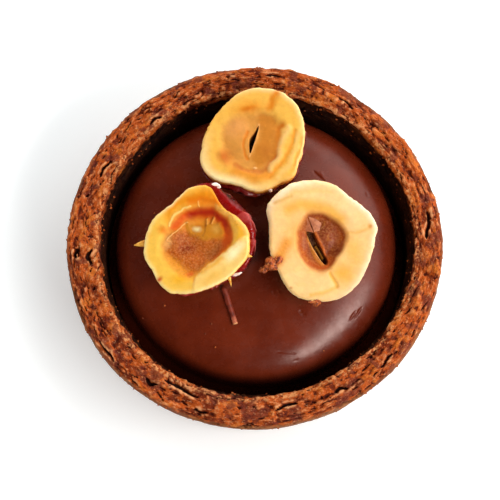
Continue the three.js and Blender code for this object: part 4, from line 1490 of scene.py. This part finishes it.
def crumb(at, size, grains, seed):
    """A crumb made of many grains, denser towards its middle."""
    at, size, rng = np.array(at), np.array(size), np.random.default_rng(seed)
    parts = [pebble(at, 0.9 * size, rng.uniform(0, 180), seed, 0.7, rows=12, columns=18)]
    for _ in range(grains):
        away = rng.normal(0, 1, 3)
        away = away / np.linalg.norm(away) * 0.42 * rng.uniform(0.55, 1.0) * size
        grain = rng.uniform(0.4, 1.1)
        shape = (grain, grain * rng.uniform(0.6, 1), grain * rng.uniform(0.5, 0.9))
        parts.append(pebble(at + away, shape, rng.uniform(0, 180), int(rng.integers(1, 99)), 0.8))
    return parts


# Where each crumb lies, its size, how many grains it has and its own random seed.
CRUMBS = [
    ((-7.3, -3.6, -0.45), (2.5, 1.9, 1.5), 40, 7),
    ((-8.5, -4.4, -0.8), (1.4, 0.8, 0.8), 12, 8),
    ((-6.3, -3.0, -0.05), (1.2, 1.0, 0.6), 10, 10),
    ((-0.9, -8.85, -0.6), (1.6, 1.1, 1.1), 18, 9),
]
add_bits("nut_right_crumbs", "nut_right", [part for row in CRUMBS for part in crumb(*row)], browned)

# %% [markdown]
# ## Loose grains
# Grains lie where the rim is open, and none of them lies over a crack.

# %% Grains on the rim
GRAINS = 900
grain_rng = np.random.default_rng(23)
rim_rows = np.flatnonzero((height[:, 0] > FILLING_EDGE + 1.2) & (radius[:, 0] < RIM_RADIUS))
grains_made = []
for _ in range(GRAINS):
    row = grain_rng.choice(rim_rows)
    column = grain_rng.integers(SHELL_COLUMNS)
    if crack[row, column] > 0.2:
        continue
    grain = 0.16 + 0.34 * grain_rng.random() ** 2
    size = grain * grain_rng.uniform(0.6, 1.2, 3)
    at = shell_grid[row, column] - np.array([0, 0, 0.12 * grain])
    grains_made.append(pebble(at, size, grain_rng.uniform(0, 180), int(grain_rng.integers(1, 99)), 0.7, 3, 6))
grain_points, grain_faces = heap(grains_made)
even = np.ones(len(grain_points))
grain_layers = {"drawn": grain_points * MM, "stand_out": 0.9 * even, "bake": 0.6 * even}
make_piece("rim_grains", grain_points, grain_faces, crust.material, "crust", "crust", grain_layers)

# %% [markdown]
# ## Specks
# A few specks of crumb have fallen on the chocolate, though not under the nuts.

# %% Specks on the chocolate
SPECKS, SPECKS_WITHIN = 16, 19.5
speck_rng = np.random.default_rng(31)
specks = []
for _ in range(SPECKS):
    angle, reach = speck_rng.uniform(0, 2 * np.pi), SPECKS_WITHIN * math.sqrt(speck_rng.random())
    x, y = reach * math.cos(angle), reach * math.sin(angle)
    if underside(x, y) < NOTHING_ABOVE:
        continue
    size = speck_rng.uniform(0.14, 0.3)
    specks.append(pebble((x, y, on_dome((x, y), 0.02)[2]), (size, size, 0.7 * size), 0,
                         int(speck_rng.integers(1, 99)), 0.6, 3, 6))
make_piece("specks", *heap(specks), browned.material, "filling", "filling")

# %% [markdown]
# ## Table, light and camera
# Four soft lights stand round the tart. The narrow key light at the front right makes the sheen on
# the chocolate, the side card and the window light crumb and kernels from the right and the back,
# and a weak card keeps the left from going dark. A pale floor and white walls fill the shadows.
# The camera is a long lens from well above, so that the round rim stays nearly round.

# %% Floor
FLOOR_HALF = 1.5
TABLE_GLOW = 0.25
floor_mesh = bpy.data.meshes.new("floor")
corners = [(-1, -1, 0), (1, -1, 0), (1, 1, 0), (-1, 1, 0)]
floor_mesh.from_pydata([tuple(FLOOR_HALF * c for c in corner) for corner in corners], [], [(0, 1, 2, 3)])
floor = bpy.data.objects.new("floor", floor_mesh)
bpy.context.scene.collection.objects.link(floor)
paper = Finish("white_card", roughness=0.9, specular=0.2)
paper.colour(paper.tint(ink(245, 251, 252), (241, 247, 248), paper.noise(60, 2), 0.4, 0.6))
paper.sockets["Emission Color"].default_value = (1, 1, 1, 1)
paper.sockets["Emission Strength"].default_value = TABLE_GLOW
floor_mesh.materials.append(paper.material)
print("floor half width, m:", FLOOR_HALF)

# %% [markdown]
# ## Soft lights
# Every light is a rectangle that faces the top of the tart, so moving one never turns it away.

# %% Lights


def softbox(name, azimuth, elevation, distance, size, power, colour):
    """A soft light that faces the top of the tart; angles in degrees, 0 is to the right of the tart."""
    lamp = bpy.data.lights.new(name, "AREA")
    lamp.shape = "RECTANGLE"
    lamp.size, lamp.size_y = size
    lamp.energy = power
    lamp.color = colour
    light = bpy.data.objects.new(name, lamp)
    turn, rise = math.radians(azimuth), math.radians(elevation)
    direction = Vector((math.cos(rise) * math.cos(turn), math.cos(rise) * math.sin(turn), math.sin(rise)))
    light.location = direction * distance + Vector((0, 0, SHELL_HEIGHT * MM))
    light.rotation_euler = direction.to_track_quat("Z", "Y").to_euler()
    bpy.context.scene.collection.objects.link(light)
    return light


def studio_world(low, high, bright_side, dim):
    """White walls and a dim ceiling, kept out of reflections; the wall across from `bright_side` is dim."""
    world = bpy.data.worlds.new("studio")
    world.use_nodes = True
    world.cycles_visibility.glossy = False
    sky = Nodes(world.node_tree)
    direction = sky.add("TexCoord", "Generated", {})
    upward = sky.add("SeparateXYZ", "Z", {"Vector": direction})
    fade = sky.range(upward, 0.25, 0.62, low, high)
    turn = math.radians(bright_side)
    bright = (math.cos(turn), math.sin(turn), 0)
    facing = sky.add("VectorMath", "Value", {0: direction, 1: bright}, operation="DOT_PRODUCT")
    side = sky.range(facing, -0.8, 0.8, dim, 2 - dim, smooth=False)
    background = sky.nodes["Background"].inputs
    background["Color"].default_value = (1, 1, 1, 1)
    sky.feed(background["Strength"], sky.times(fade, side))
    return world


# Name, angles round and above the tart, distance and size in metres, power in watts, and colour.
LIGHTS = [
    ("key_light", -39, 48, 1.0, (0.76, 0.24), 7.2, (1.0, 0.95, 0.92)),
    ("side_card", 24, 51, 1.0, (1.2, 0.7), 4.2, (1, 1, 1)),
    ("window", 60, 26, 1.2, (1.4, 0.5), 3.2, (1, 1, 1)),
    ("left_card", 155, 50, 1.1, (0.9, 0.5), 1.2, (1, 1, 1)),
]
WALL_LIGHT, CEILING_LIGHT = 2.2, 0.05
BRIGHT_SIDE, DIM_SIDE_SHARE = 65, 0.4
lights = {row[0]: softbox(*row) for row in LIGHTS}
lights["left_card"].visible_glossy = False
bpy.context.scene.world = studio_world(WALL_LIGHT, CEILING_LIGHT, BRIGHT_SIDE, DIM_SIDE_SHARE)
bpy.context.scene.view_settings.view_transform = "Standard"
print("lights:", list(lights))

# %% [markdown]
# ## Camera
# A long lens from far off; its field of view follows from the width that it has to take in.

# %% Camera
CAMERA_ELEVATION = math.radians(74.5)
CAMERA_DISTANCE = 0.8
SENSOR = 36.0
SEEN_WIDTH = 73.15
AIM_OFFSET = (-0.63, -0.73)
towards_camera = Vector((0, -math.cos(CAMERA_ELEVATION), math.sin(CAMERA_ELEVATION)))
camera_up = Vector((0, math.sin(CAMERA_ELEVATION), math.cos(CAMERA_ELEVATION)))
aim = Vector((0, 0, SHELL_HEIGHT)) + Vector((AIM_OFFSET[0], 0, 0)) + camera_up * AIM_OFFSET[1]
lens = bpy.data.cameras.new("camera")
lens.sensor_width = SENSOR
lens.lens = SENSOR * CAMERA_DISTANCE / (SEEN_WIDTH * MM)
lens.clip_start = 0.05
lens.clip_end = 10
camera = bpy.data.objects.new("camera", lens)
camera.location = aim * MM + towards_camera * CAMERA_DISTANCE
camera.rotation_euler = towards_camera.to_track_quat("Z", "Y").to_euler()
bpy.context.scene.collection.objects.link(camera)
bpy.context.scene.camera = camera
print("lens, mm:", round(lens.lens, 1))

# %% [markdown]
# ## The imported solids
# They stay in the scene, hidden.

# %% Bringing the scene up to date
bpy.context.view_layer.update()
